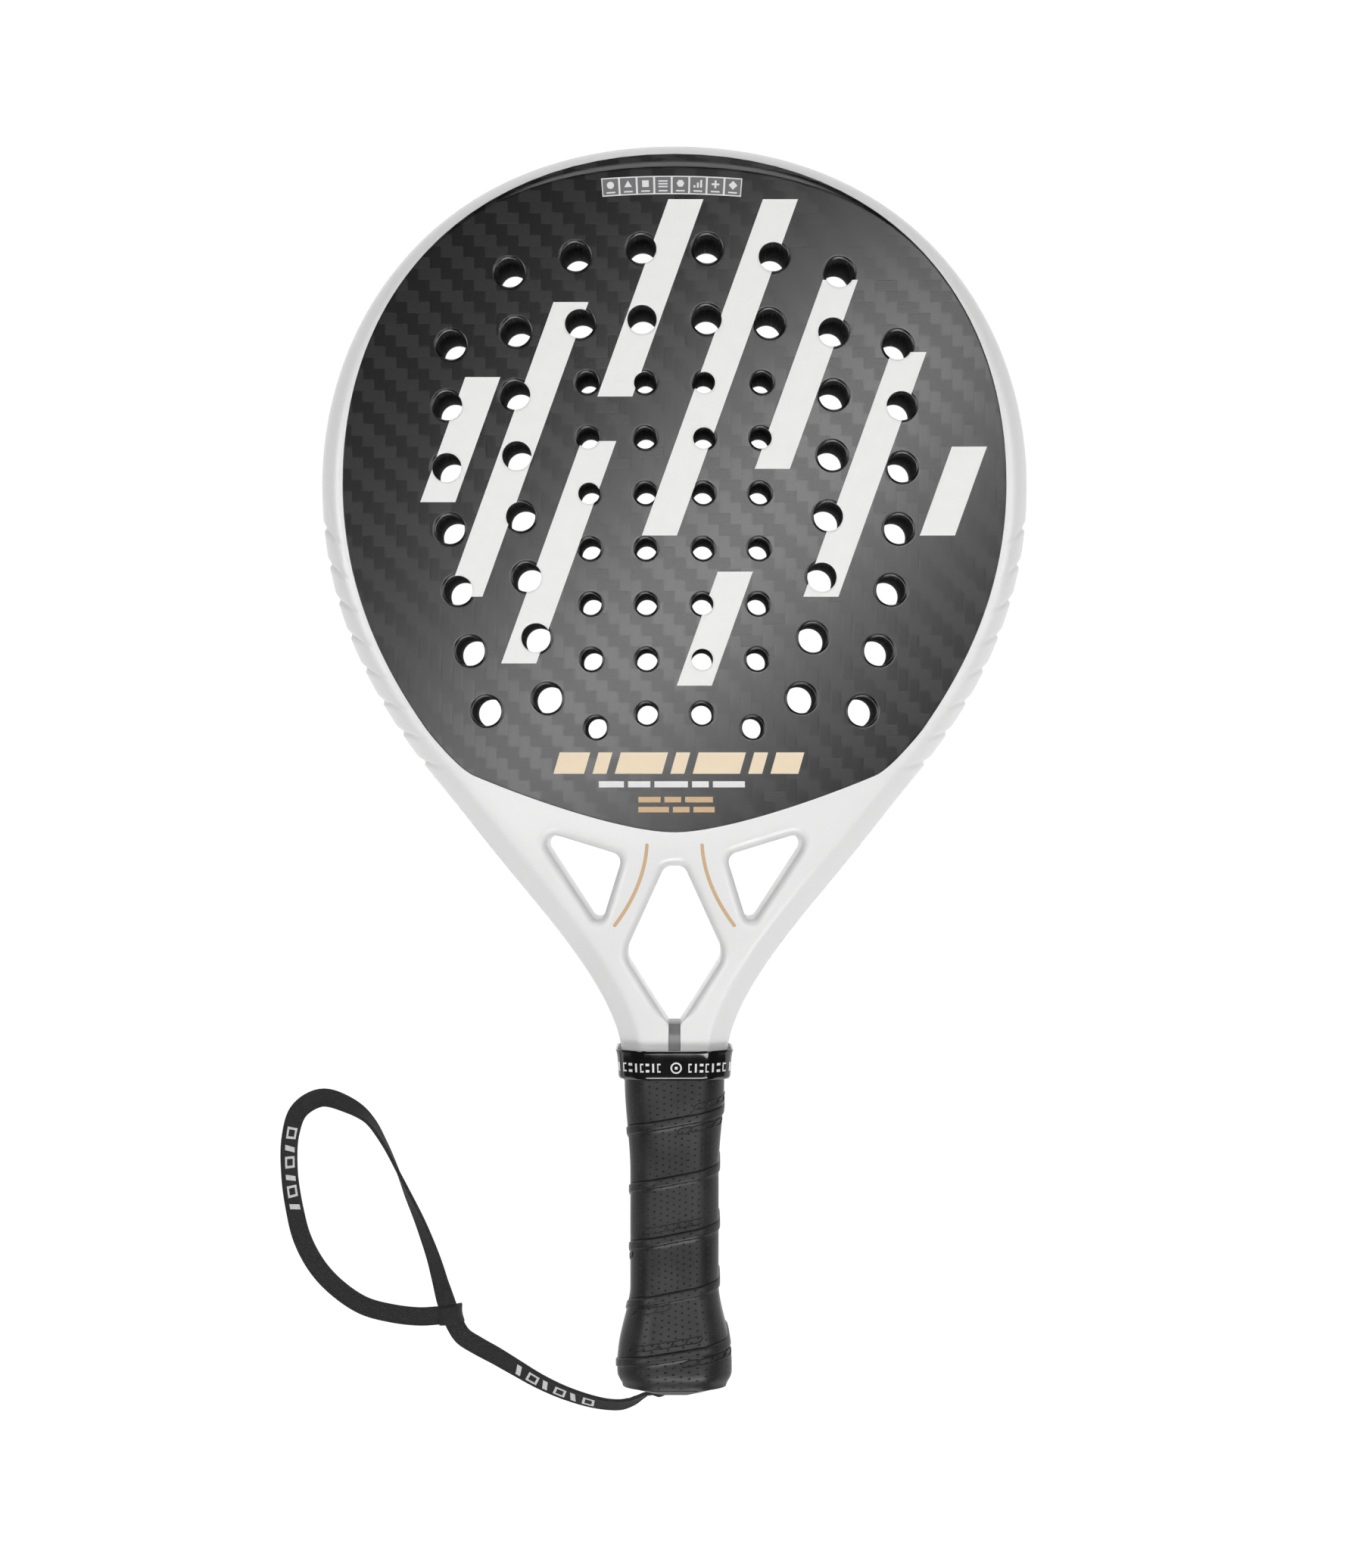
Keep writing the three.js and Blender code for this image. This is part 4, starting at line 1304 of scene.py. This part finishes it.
def hitting_face(front):
    """A skin with rounded holes, rolled down at its edge, and its underside."""
    built = Builder()
    holes = hole_centres()
    top = MID_Z
    stripes = STRIPES if front else []
    rolls = []
    for reach, rise in FACE_ROLL_PROFILE:
        row = []
        for (x, y, height), (nx, ny) in zip(FACE_PLACES, FACE_NORMALS):
            q = mix(FACE_ROLL, FACE_ROLL_AT_CROWN, crown_share(x, y)) * reach
            row.append((x + nx * q, y + ny * q, mix(height - FACE_BELOW_RIM, top, rise)))
        rolls.append(row)
    inner = [(x, y) for x, y, _ in rolls[-1]] + FACE_NORMALS * FACE_LEVEL_RING
    rolls.append([(x, y, top) for x, y in inner])
    built.grid(rolls, ringed=True)
    flat = [p[:2] for p in rolls[-1]]
    edges = [circle(x, y, r) for x, y, r in holes]
    dishes = []
    for share in HOLE_DISH_RINGS:
        dishes += [circle(x, y, r + HOLE_DISH * share) for x, y, r in holes]
    outmost = HOLE_DISH * HOLE_DISH_RINGS[-1]
    extra = grid_inside(flat, [(x, y, r + outmost) for x, y, r in holes], FACE_SPACING, FACE_CLEAR)
    points, triangles, middles = triangulate(flat, edges, dishes + stripes, extra)
    marks = np.zeros(len(triangles), int)
    for loop in stripes:
        marks[inside(middles, loop)] = 1
    heights = top - dish_drop(points, holes)
    for corners, mark in zip(triangles, marks):
        built.face([(*points[c], heights[c]) for c in corners], int(mark))
    for ring in edges:
        rim, foot = [[(*p, z) for p in ring] for z in (top - HOLE_DISH_DROP, top - SKIN)]
        built.grid([rim, foot], ringed=True)
    outer = face_loop(0)
    points, triangles, _ = triangulate(outer, edges)
    for corners in triangles:
        built.face([(*points[c], top - SKIN) for c in corners])
    built.grid([[(*p, top - SKIN) for p in outer], rolls[0]], ringed=True)
    side = 1 if front else -1
    built.points = [(x, y, MID_Z + side * z) for x, y, z in built.points]
    return built


def foam_core():
    """Core between the skins: what shows of it is the wall of each drilled hole."""
    built = Builder()
    depth = MID_Z - SKIN
    holes = hole_centres()
    outer = face_loop(SKIN_LAP)
    rings = [circle(x, y, r) for x, y, r in holes]
    points, triangles, _ = triangulate(outer, rings)
    levels = (MID_Z - depth, MID_Z + depth)
    for z in levels:
        for corners in triangles:
            built.face([(*points[c], z) for c in corners])
    for ring in [outer, *rings]:
        built.grid([[(*p, z) for p in ring] for z in levels], ringed=True)
    return built


add_piece(
    "front_skin_twill", hitting_face(True), [TWILL, FACE_PRINT], ["front_skin"], 40)
add_piece("back_skin_twill", hitting_face(False), [TWILL], ["back_skin"], 40)
add_piece("foam_core_drilled", foam_core(), [FOAM], ["foam_core"])

# ---- printed marks on the front ------------------------------------------------------------


def on_front(points, lift=INK):
    """Points on the front of the racket, raised by the ink."""
    return [(x, y, MID_Z + half_thickness(y) + lift) for x, y in points]


def add_bar(built, x, width, y, height, slant=0.0, mark=0):
    """A thin raised bar on the front of the racket, its top shifted sideways by a slant."""
    top = y + height
    outline = [(x, y), (x + width, y), (x + width + slant, top), (x + slant, top)]
    high = on_front(outline)
    built.cap(high, mark)
    built.grid([on_front(outline, 0.0), high], ringed=True, mark=mark)


GOLD_HALF_WIDTH = 0.65
GOLD_ROUTE = [(-9.9, -27.4), (-10.95, -34.4), (-13.0, -41.5), (-16.6, -48.8), (-21.5, -56.3)]


def gold_lines():
    """Two curved lines with round ends, down the throat beside the centre window."""
    built = Builder()
    heights = np.linspace(GOLD_ROUTE[0][1], GOLD_ROUTE[-1][1], 20)
    xs = np.polyval(np.polyfit([y for _, y in GOLD_ROUTE], [x for x, _ in GOLD_ROUTE], 3), heights)
    for side in (1, -1):
        points = np.array([(side * x, y) for x, y in zip(xs, heights)])
        way = units(np.gradient(points, axis=0))
        across = right_of(way) * -GOLD_HALF_WIDTH
        shares = ((-1, 0.0), (-0.9, INK), (0, INK), (0.9, INK), (1, 0.0))
        built.grid([on_front(points + across * share, lift) for share, lift in shares])
        for end, sign in ((0, -1), (-1, 1)):
            ahead = way[end] * sign * GOLD_HALF_WIDTH
            angles = [pi * k / 8 for k in range(9)]
            arc = [points[end] + across[end] * cos(a) + ahead * sin(a) for a in angles]
            built.cap(on_front(arc))
    return built


def name_bars():
    """Plain slanted bars where such a racket carries its name."""
    built = Builder()
    pieces = [(-43.5, 11), (-29.5, 5), (-21.5, 17), (-1.5, 5), (6.5, 17), (26.5, 5), (34.5, 10)]
    for x, width in pieces:
        add_bar(built, x, width, -1.7, 7.7, 2.2)
    return built


def small_bars():
    """Rows of short dashes below the bars: height of the row, of its dashes, ink and dashes."""
    built = Builder()
    rows = [
        (-6.6, 2.2, 0, [(-27.2, 9), (-16.7, 8), (-7.2, 12), (6.3, 6), (13.8, 11.5)]),
        (-12, 2, 1, [(-13, 8), (-3.6, 6), (3.8, 10)]),
        (-15.6, 2, 1, [(-13, 11), (-0.6, 6), (6.8, 7.6)]),
    ]
    for y, height, mark, spans in rows:
        for x, width in spans:
            add_bar(built, x, width, y, height, mark=mark)
    return built


LABEL_HALF = 25.4
LABEL_X = -1.0
LABEL_RADIUS = 330.0
LABEL_TOP = 213.4
LABEL_HEIGHT = 6.6
LABEL_CELLS = 8
LABEL_LIFT = 0.04
CELL_LIFT = 0.07
CELL_GAP = 0.35
CELL_BORDER = 0.4
ICON_LIFT = 0.09
# What each cell shows: polygons as height, sides, radius and turn, and bars as left, right, low,
# high and lift, with left and right from the middle of the cell.
ICON_POLYGONS = {
    0: (3.9, 20, 1.3, 0),
    1: (3.7, 3, 1.6, pi / 2),
    2: (3.9, 4, 1.7, pi / 4),
    4: (3.9, 6, 1.4, 0),
    7: (3.9, 4, 1.6, 0),
}
ICON_BARS = {
    3: [(-1.7, 1.7, 2.5 + k, 3.0 + k, ICON_LIFT) for k in range(3)],
    5: [(-1.6 + 1.2 * k, -0.9 + 1.2 * k, 2.5, 3.3 + k, ICON_LIFT) for k in range(3)],
    6: [(-1.4, 1.4, 3.55, 4.25, ICON_LIFT), (-0.35, 0.35, 2.5, 5.3, 0.1)],
}


def label_point(u, v, lift):
    """A place on the arched label, u along it from its middle and v up from its lower edge."""
    angle = u / LABEL_RADIUS
    radius = LABEL_RADIUS - LABEL_HEIGHT + v
    y = LABEL_TOP - LABEL_RADIUS + radius * cos(angle)
    return (radius * sin(angle) + LABEL_X, y, THICKNESS + lift)


def label_patch(built, u0, u1, v0, v1, lift, mark=0):
    """A raised patch of the label that follows its arch."""
    steps = max(2, int((u1 - u0) / 2))
    spots = [mix(u0, u1, k / steps) for k in range(steps + 1)]
    low, high = [[label_point(u, v, lift) for u in spots] for v in (v0, v1)]
    built.grid([low, high], mark=mark)
    ring = low + high[::-1]
    built.grid([[(x, y, THICKNESS) for x, y, _ in ring], ring], ringed=True, mark=mark)


def face_label():
    """A row of grey cells with plain pictograms in a white border."""
    built = Builder()
    label_patch(built, -LABEL_HALF, LABEL_HALF, 0, LABEL_HEIGHT, LABEL_LIFT)
    step = 2 * LABEL_HALF / LABEL_CELLS
    for k in range(LABEL_CELLS):
        middle = -LABEL_HALF + (k + 0.5) * step
        reach = step / 2 - CELL_GAP
        top = LABEL_HEIGHT - CELL_BORDER
        label_patch(built, middle - reach, middle + reach, CELL_BORDER, top, CELL_LIFT, 1)
        bars = [(-1.6, 1.6, 1.0, 1.5, ICON_LIFT)] + ICON_BARS.get(k, [])
        for start, stop, low, high, lift in bars:
            label_patch(built, middle + start, middle + stop, low, high, lift)
        if k in ICON_POLYGONS:
            v, sides, radius, turn = ICON_POLYGONS[k]
            ring = []
            for a in turns(sides):
                across, up = radius * cos(a + turn), radius * sin(a + turn)
                ring.append(label_point(middle + across, v + up, ICON_LIFT))
            built.cap(ring)
    return built


add_piece("gold_accent_lines", gold_lines(), [GOLD])
add_piece("face_name_bars", name_bars(), [CHAMPAGNE])
add_piece("face_small_bars", small_bars(), [LABEL_WHITE, GOLD])
add_piece("face_label", face_label(), [LABEL_WHITE, LABEL_GREY])

# ---- strip up the middle of the neck -------------------------------------------------------

LEGS_HALF_DEPTH = 9.3
STRIP_BELOW_NECK = 0.12
# How far the strip's top slopes off towards the window: distance up from the floor of the
# throat, and drop.
STRIP_SLOPE = [(0.3, 4.2), (0.1, 3.8), (-2.9, 0.5), (-3.3, 0.15), (-3.8, 0.0)]


def strip_section(y, depth):
    """A section across the strip with small bevels, once around."""
    half = FILLER_HALF_WIDTH
    edge = min(0.25, depth * 0.5)
    right = [(half, depth - edge), (half - edge, depth)]
    left = [(-x, z) for x, z in reversed(right)]
    top = right + [(0, depth)] + left
    return [(x, y, MID_Z + z) for x, z in top + [(-x, -z) for x, z in top]]


def neck_strip():
    """The grey strip in the slot of the neck, and its thinner leg inside the handle."""
    built = Builder()
    stations = [(THROAT_FLOOR_Y + up, drop) for up, drop in STRIP_SLOPE]
    stations += [(-99, 0.0), (NECK_BOTTOM_Y, 0.0)]
    rows = [strip_section(stations[0][0] - 0.001, 0.01)]
    rows += [strip_section(y, half_thickness(y) - STRIP_BELOW_NECK - drop) for y, drop in stations]
    for y in (NECK_BOTTOM_Y - 0.01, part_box("neck_filler")[0].y / MM):
        rows.append(strip_section(y, LEGS_HALF_DEPTH))
    built.grid(rows, ringed=True)
    built.cap(rows[-1])
    return built


add_piece("neck_filler_strip", neck_strip(), [STRIP_GREY], ["neck_filler"])

# ---- handle --------------------------------------------------------------------------------

GRIP_DEPTH_RATIO = 0.88
GRIP_FLAT = 0.6
NECK_FLAT = 0.62


def soft_octagon(flat, blur):
    """Radius of a unit octagon with blurred corners, at every half degree around it."""
    upper = [(1, flat), (flat, 1), (-flat, 1), (-1, flat)]
    corners = upper + [(-x, -y) for x, y in upper]
    radii = []
    for k in range(720):
        a = radians(k / 2)
        way = (cos(a), sin(a))
        best = 9.0
        for (x0, y0), (x1, y1) in zip(corners, corners[1:] + corners[:1]):
            nx, ny = y1 - y0, x0 - x1
            facing = nx * way[0] + ny * way[1]
            if facing < 0:
                nx, ny, facing = -nx, -ny, -facing
            if facing > 1e-9:
                best = min(best, abs(nx * x0 + ny * y0) / facing)
        radii.append(best)
    radii = np.array(radii)
    width = int(blur * 2)
    kernel = np.hanning(2 * width + 3)[1:-1]
    kernel /= kernel.sum()
    wide = np.concatenate([radii[-width:], radii, radii[:width]])
    soft = np.convolve(wide, kernel, "valid")
    return np.append(soft, soft[0])


GRIP_OCTAGON = soft_octagon(GRIP_FLAT, 20)
NECK_OCTAGON = soft_octagon(NECK_FLAT, 9)


def octagon_point(table, angle, half_width, y, lift=0.0):
    """A point on a soft octagonal section of the handle, at an angle from +X towards +Z."""
    depth = half_width * GRIP_DEPTH_RATIO
    radius = np.interp(degrees(angle) % 360 * 2, range(721), table)
    x, z = radius * cos(angle) * half_width, radius * sin(angle) * depth
    size = hypot(x, z)
    return (x * (1 + lift / size), y, MID_Z + z * (1 + lift / size))


GRIP_SHAFT_HALF = 15.97
GRIP_SWELL = 2.05
GRIP_FLARE = 4.7
BUTT_EDGE_HALF = 18.7


def grip_half_width(y):
    """The grip swells under the collar and flares towards the butt, then rounds over."""
    shaft = GRIP_SHAFT_HALF + GRIP_SWELL * smoothstep(-147, -113, y)
    flared = shaft + GRIP_FLARE * smoothstep(188, 216, -y)
    return mix(flared, BUTT_EDGE_HALF, smoothstep(219, 224.3, -y) ** 1.3)


PITCH = 21.0
SEAM_LEFT_Y = -131.0
BAND_RISE = 0.55
WRAP_STEP = 1.44
GRIP_TOP_Y = -104.3
GRIP_BOTTOM_Y = -224.3
GRIP_COLUMNS = 88
GRIP_GIRTH = 98.0
# Turns of the tape that are laid, and how far its two ends close inwards.
FIRST_TURN = -2
TURN_AFTER_LAST = 6
GRIP_ENDS = [(GRIP_BOTTOM_Y, 3.4), (GRIP_TOP_Y, 1.1)]

# How far the tape stands proud below each seam: crease, overlapped band, step down.
WRAP_PROFILE = [
    (0, 0.0), (0.12, -0.3), (0.32, -0.32), (0.5, 0.25), (0.75, 0.5), (1.2, BAND_RISE), (2.2, BAND_RISE),
    (3.05, BAND_RISE), (3.35, 0.45), (3.5, 0.12), (3.7, 0.0),
    *((3.7 + WRAP_STEP * k, 0.0) for k in range(1, 12)), (PITCH, 0.0),
]


def seam_y(angle, turn):
    """Height of the spiral seam. It rises from the left edge over the front to the right edge."""
    return SEAM_LEFT_Y + PITCH * (pi - angle) / (2 * pi) - PITCH * turn


def on_grip(angle, y, lift):
    """A point on the outer grip."""
    return octagon_point(GRIP_OCTAGON, angle, grip_half_width(y), y, lift)


def overgrip():
    """Tape wound around the handle: one helical strip with its overlap standing proud."""
    built = Builder()
    columns = []
    for turn in range(FIRST_TURN, TURN_AFTER_LAST):
        for a in turns(GRIP_COLUMNS):
            angle = pi + a
            start = seam_y(angle, turn)
            column = []
            for down, rise in WRAP_PROFILE:
                y = min(GRIP_TOP_Y, max(GRIP_BOTTOM_Y, start - down))
                fade = smoothstep(GRIP_BOTTOM_Y, GRIP_BOTTOM_Y + 3, y)
                column.append(on_grip(angle, y, rise * fade))
            columns.append(column)

    def spot(r, k):
        return (r * GRIP_GIRTH / GRIP_COLUMNS * MM, -WRAP_PROFILE[k][0] * MM)

    built.grid(columns, uv=spot)
    for y, inner in GRIP_ENDS:
        rings = [[on_grip(a, y, lift) for a in turns(GRIP_COLUMNS)] for lift in (0.0, -inner)]
        built.grid(rings, ringed=True)
    return built


LINK_RADIUS = 0.2
LINK_SIDES = 6


def tube_along(built, points):
    """A thin closed tube through a loop of points on the grip."""
    points = np.array(points)
    rows = []
    for place, along in zip(points, units(around(points))):
        out = np.array((place[0], 0, place[2] - MID_Z))
        out -= along * out.dot(along)
        out /= np.linalg.norm(out)
        side = np.cross(along, out)
        ring = [out * cos(a) + side * sin(a) for a in turns(LINK_SIDES)]
        rows.append([place + way * LINK_RADIUS for way in ring])
    built.grid(rows, looped=True, ringed=True)


CAPSULE_LONG = 4.4
CAPSULE_HIGH = 2.1
CAPSULE_SLANT = 0.5
CAPSULE_POINTS = 20
LINK_OVERLAP = 0.5
CHAIN_RADIUS = 15.5

# Each chain of embossed links: turn of the tape, start angle in degrees, how far it lies below the
# seam (negative is above it), and number of links.
CHAINS = [
    (0, 60, -2.4, 4), (0, 78, 5.6, 4), (2, 122, -2.4, 5), (3, 132, 5.4, 3),
    (4, 128, -2.6, 5), (4, 74, 5.2, 4), (1, -60, -2.4, 5), (3, -70, -2.4, 5), (2, 200, 5.4, 4),
]


def full(value):
    """A sine or cosine pushed outwards, which makes a circle a fuller oval."""
    return copysign(abs(value) ** 0.6, value)


def capsule_chain():
    """Rows of slanted oval links embossed beside the seams of the tape."""
    built = Builder()
    for turn, start, below, links in CHAINS:
        for link in range(links):
            loop = []
            for a in turns(CAPSULE_POINTS):
                u = CAPSULE_LONG / 2 * full(cos(a))
                v = CAPSULE_HIGH / 2 * full(sin(a))
                arc = u + v * CAPSULE_SLANT + link * (CAPSULE_LONG - LINK_OVERLAP)
                here = radians(start) - arc / CHAIN_RADIUS
                loop.append(on_grip(here, seam_y(here, turn) - below + v, 0.1))
            tube_along(built, loop)
    return built


# Section of the collar from its lower lip up the outside and down inside: y and half width.
COLLAR_SECTION = [
    (-104.6, 19.75), (-111.2, 19.0), (-112.0, 18.9), (-112.25, 19.3), (-112.2, 19.75), (-111.8, 20.15),
    (-111, 20.35), (-108, 20.5), (-104.5, 20.75), (-102.6, 21.1), (-101.9, 21.3), (-101.55, 21.25),
    (-101.5, 20.95), (-101.75, 20.6), (-103, 20.1),
]
COLLAR_SIDES = 96
COLLAR_PRINT_Y = -107.8


def rubber_collar():
    """The open rubber band around the top of the grip and the neck."""
    built = Builder()
    rows = []
    for y, half in COLLAR_SECTION:
        rows.append([octagon_point(NECK_OCTAGON, a, half, y) for a in turns(COLLAR_SIDES)])
    built.grid(rows, looped=True, ringed=True)
    return built


def collar_surface(angle, y, lift):
    """A point on the outside of the collar."""
    outside = sorted(COLLAR_SECTION[5:11])
    half = np.interp(y, [row[0] for row in outside], [row[1] for row in outside])
    return octagon_point(NECK_OCTAGON, angle, half, y, lift)


def collar_angle(x):
    """Angle on the front of the collar at a distance x from its middle."""
    angles = np.linspace(pi, 0, 181)
    xs = [collar_surface(a, COLLAR_PRINT_Y, 0)[0] for a in angles]
    return float(np.interp(x, xs, angles))


PRINT_LOW = -109.3
PRINT_HIGH = -106.1
# The three marks that take turns around the collar, each as patches: left, right, low and high.
COLLAR_MARKS = [
    [(-0.6, 0.6, PRINT_LOW, -108.75), (-0.6, 0.6, -106.65, PRINT_HIGH), (-0.6, -0.2, -108.75, -106.65)],
    [(-0.35, 0.35, PRINT_LOW, PRINT_HIGH)],
    [(-0.65, 0.65, -107.0, PRINT_HIGH), (-0.65, 0.65, PRINT_LOW, -108.4)],
]
FIRST_MARK_X = 5.6
MARK_STEP = 2.05
RING_X = 0.6
RING_Y = -107.7
RING_EDGES = (1.5, 2.05)


def collar_marks():
    """Plain dashes, dots and one ring printed around the collar."""
    built = Builder()

    def spot(x, y):
        return collar_surface(collar_angle(x), y, INK)

    def patch(x0, x1, y0, y1):
        built.grid([[spot(mix(x0, x1, k / 4), y) for k in range(5)] for y in (y0, y1)])

    for k in range(8):
        for side in (1, -1):
            x = side * (FIRST_MARK_X + MARK_STEP * k)
            for left, right, low, high in COLLAR_MARKS[k % 3]:
                patch(x + left, x + right, low, high)
    rows = []
    for radius in RING_EDGES:
        ring = [(radius * cos(a), radius * sin(a)) for a in turns(32)]
        rows.append([spot(RING_X + x, RING_Y + y) for x, y in ring])
    built.grid(rows, ringed=True)
    patch(RING_X - 0.5, RING_X + 0.5, RING_Y - 0.5, RING_Y + 0.5)
    return built


add_piece("overgrip_wrap", overgrip(), [GRIP], ["overgrip"], 60)
add_piece("overgrip_embossing", capsule_chain(), [GRIP])
add_piece("collar_band", rubber_collar(), [COLLAR], ["rubber_collar"], 60)
add_piece("collar_marks", collar_marks(), [COLLAR_PRINT])

# ---- CAD nodes that keep their own shape ---------------------------------------------------

KEPT = {
    "handle_sleeve": LAMINATE,
    "foam_plug_left": PU_FOAM,
    "foam_plug_right": PU_FOAM,
    "base_grip": BASE_GRIP,
    "finishing_tape": TAPE,
    "strap_knot": WEBBING,
    "butt_cap": CAP,
}
for node_name, kept_finish in KEPT.items():
    for material_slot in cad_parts[node_name].material_slots:
        material_slot.material = kept_finish
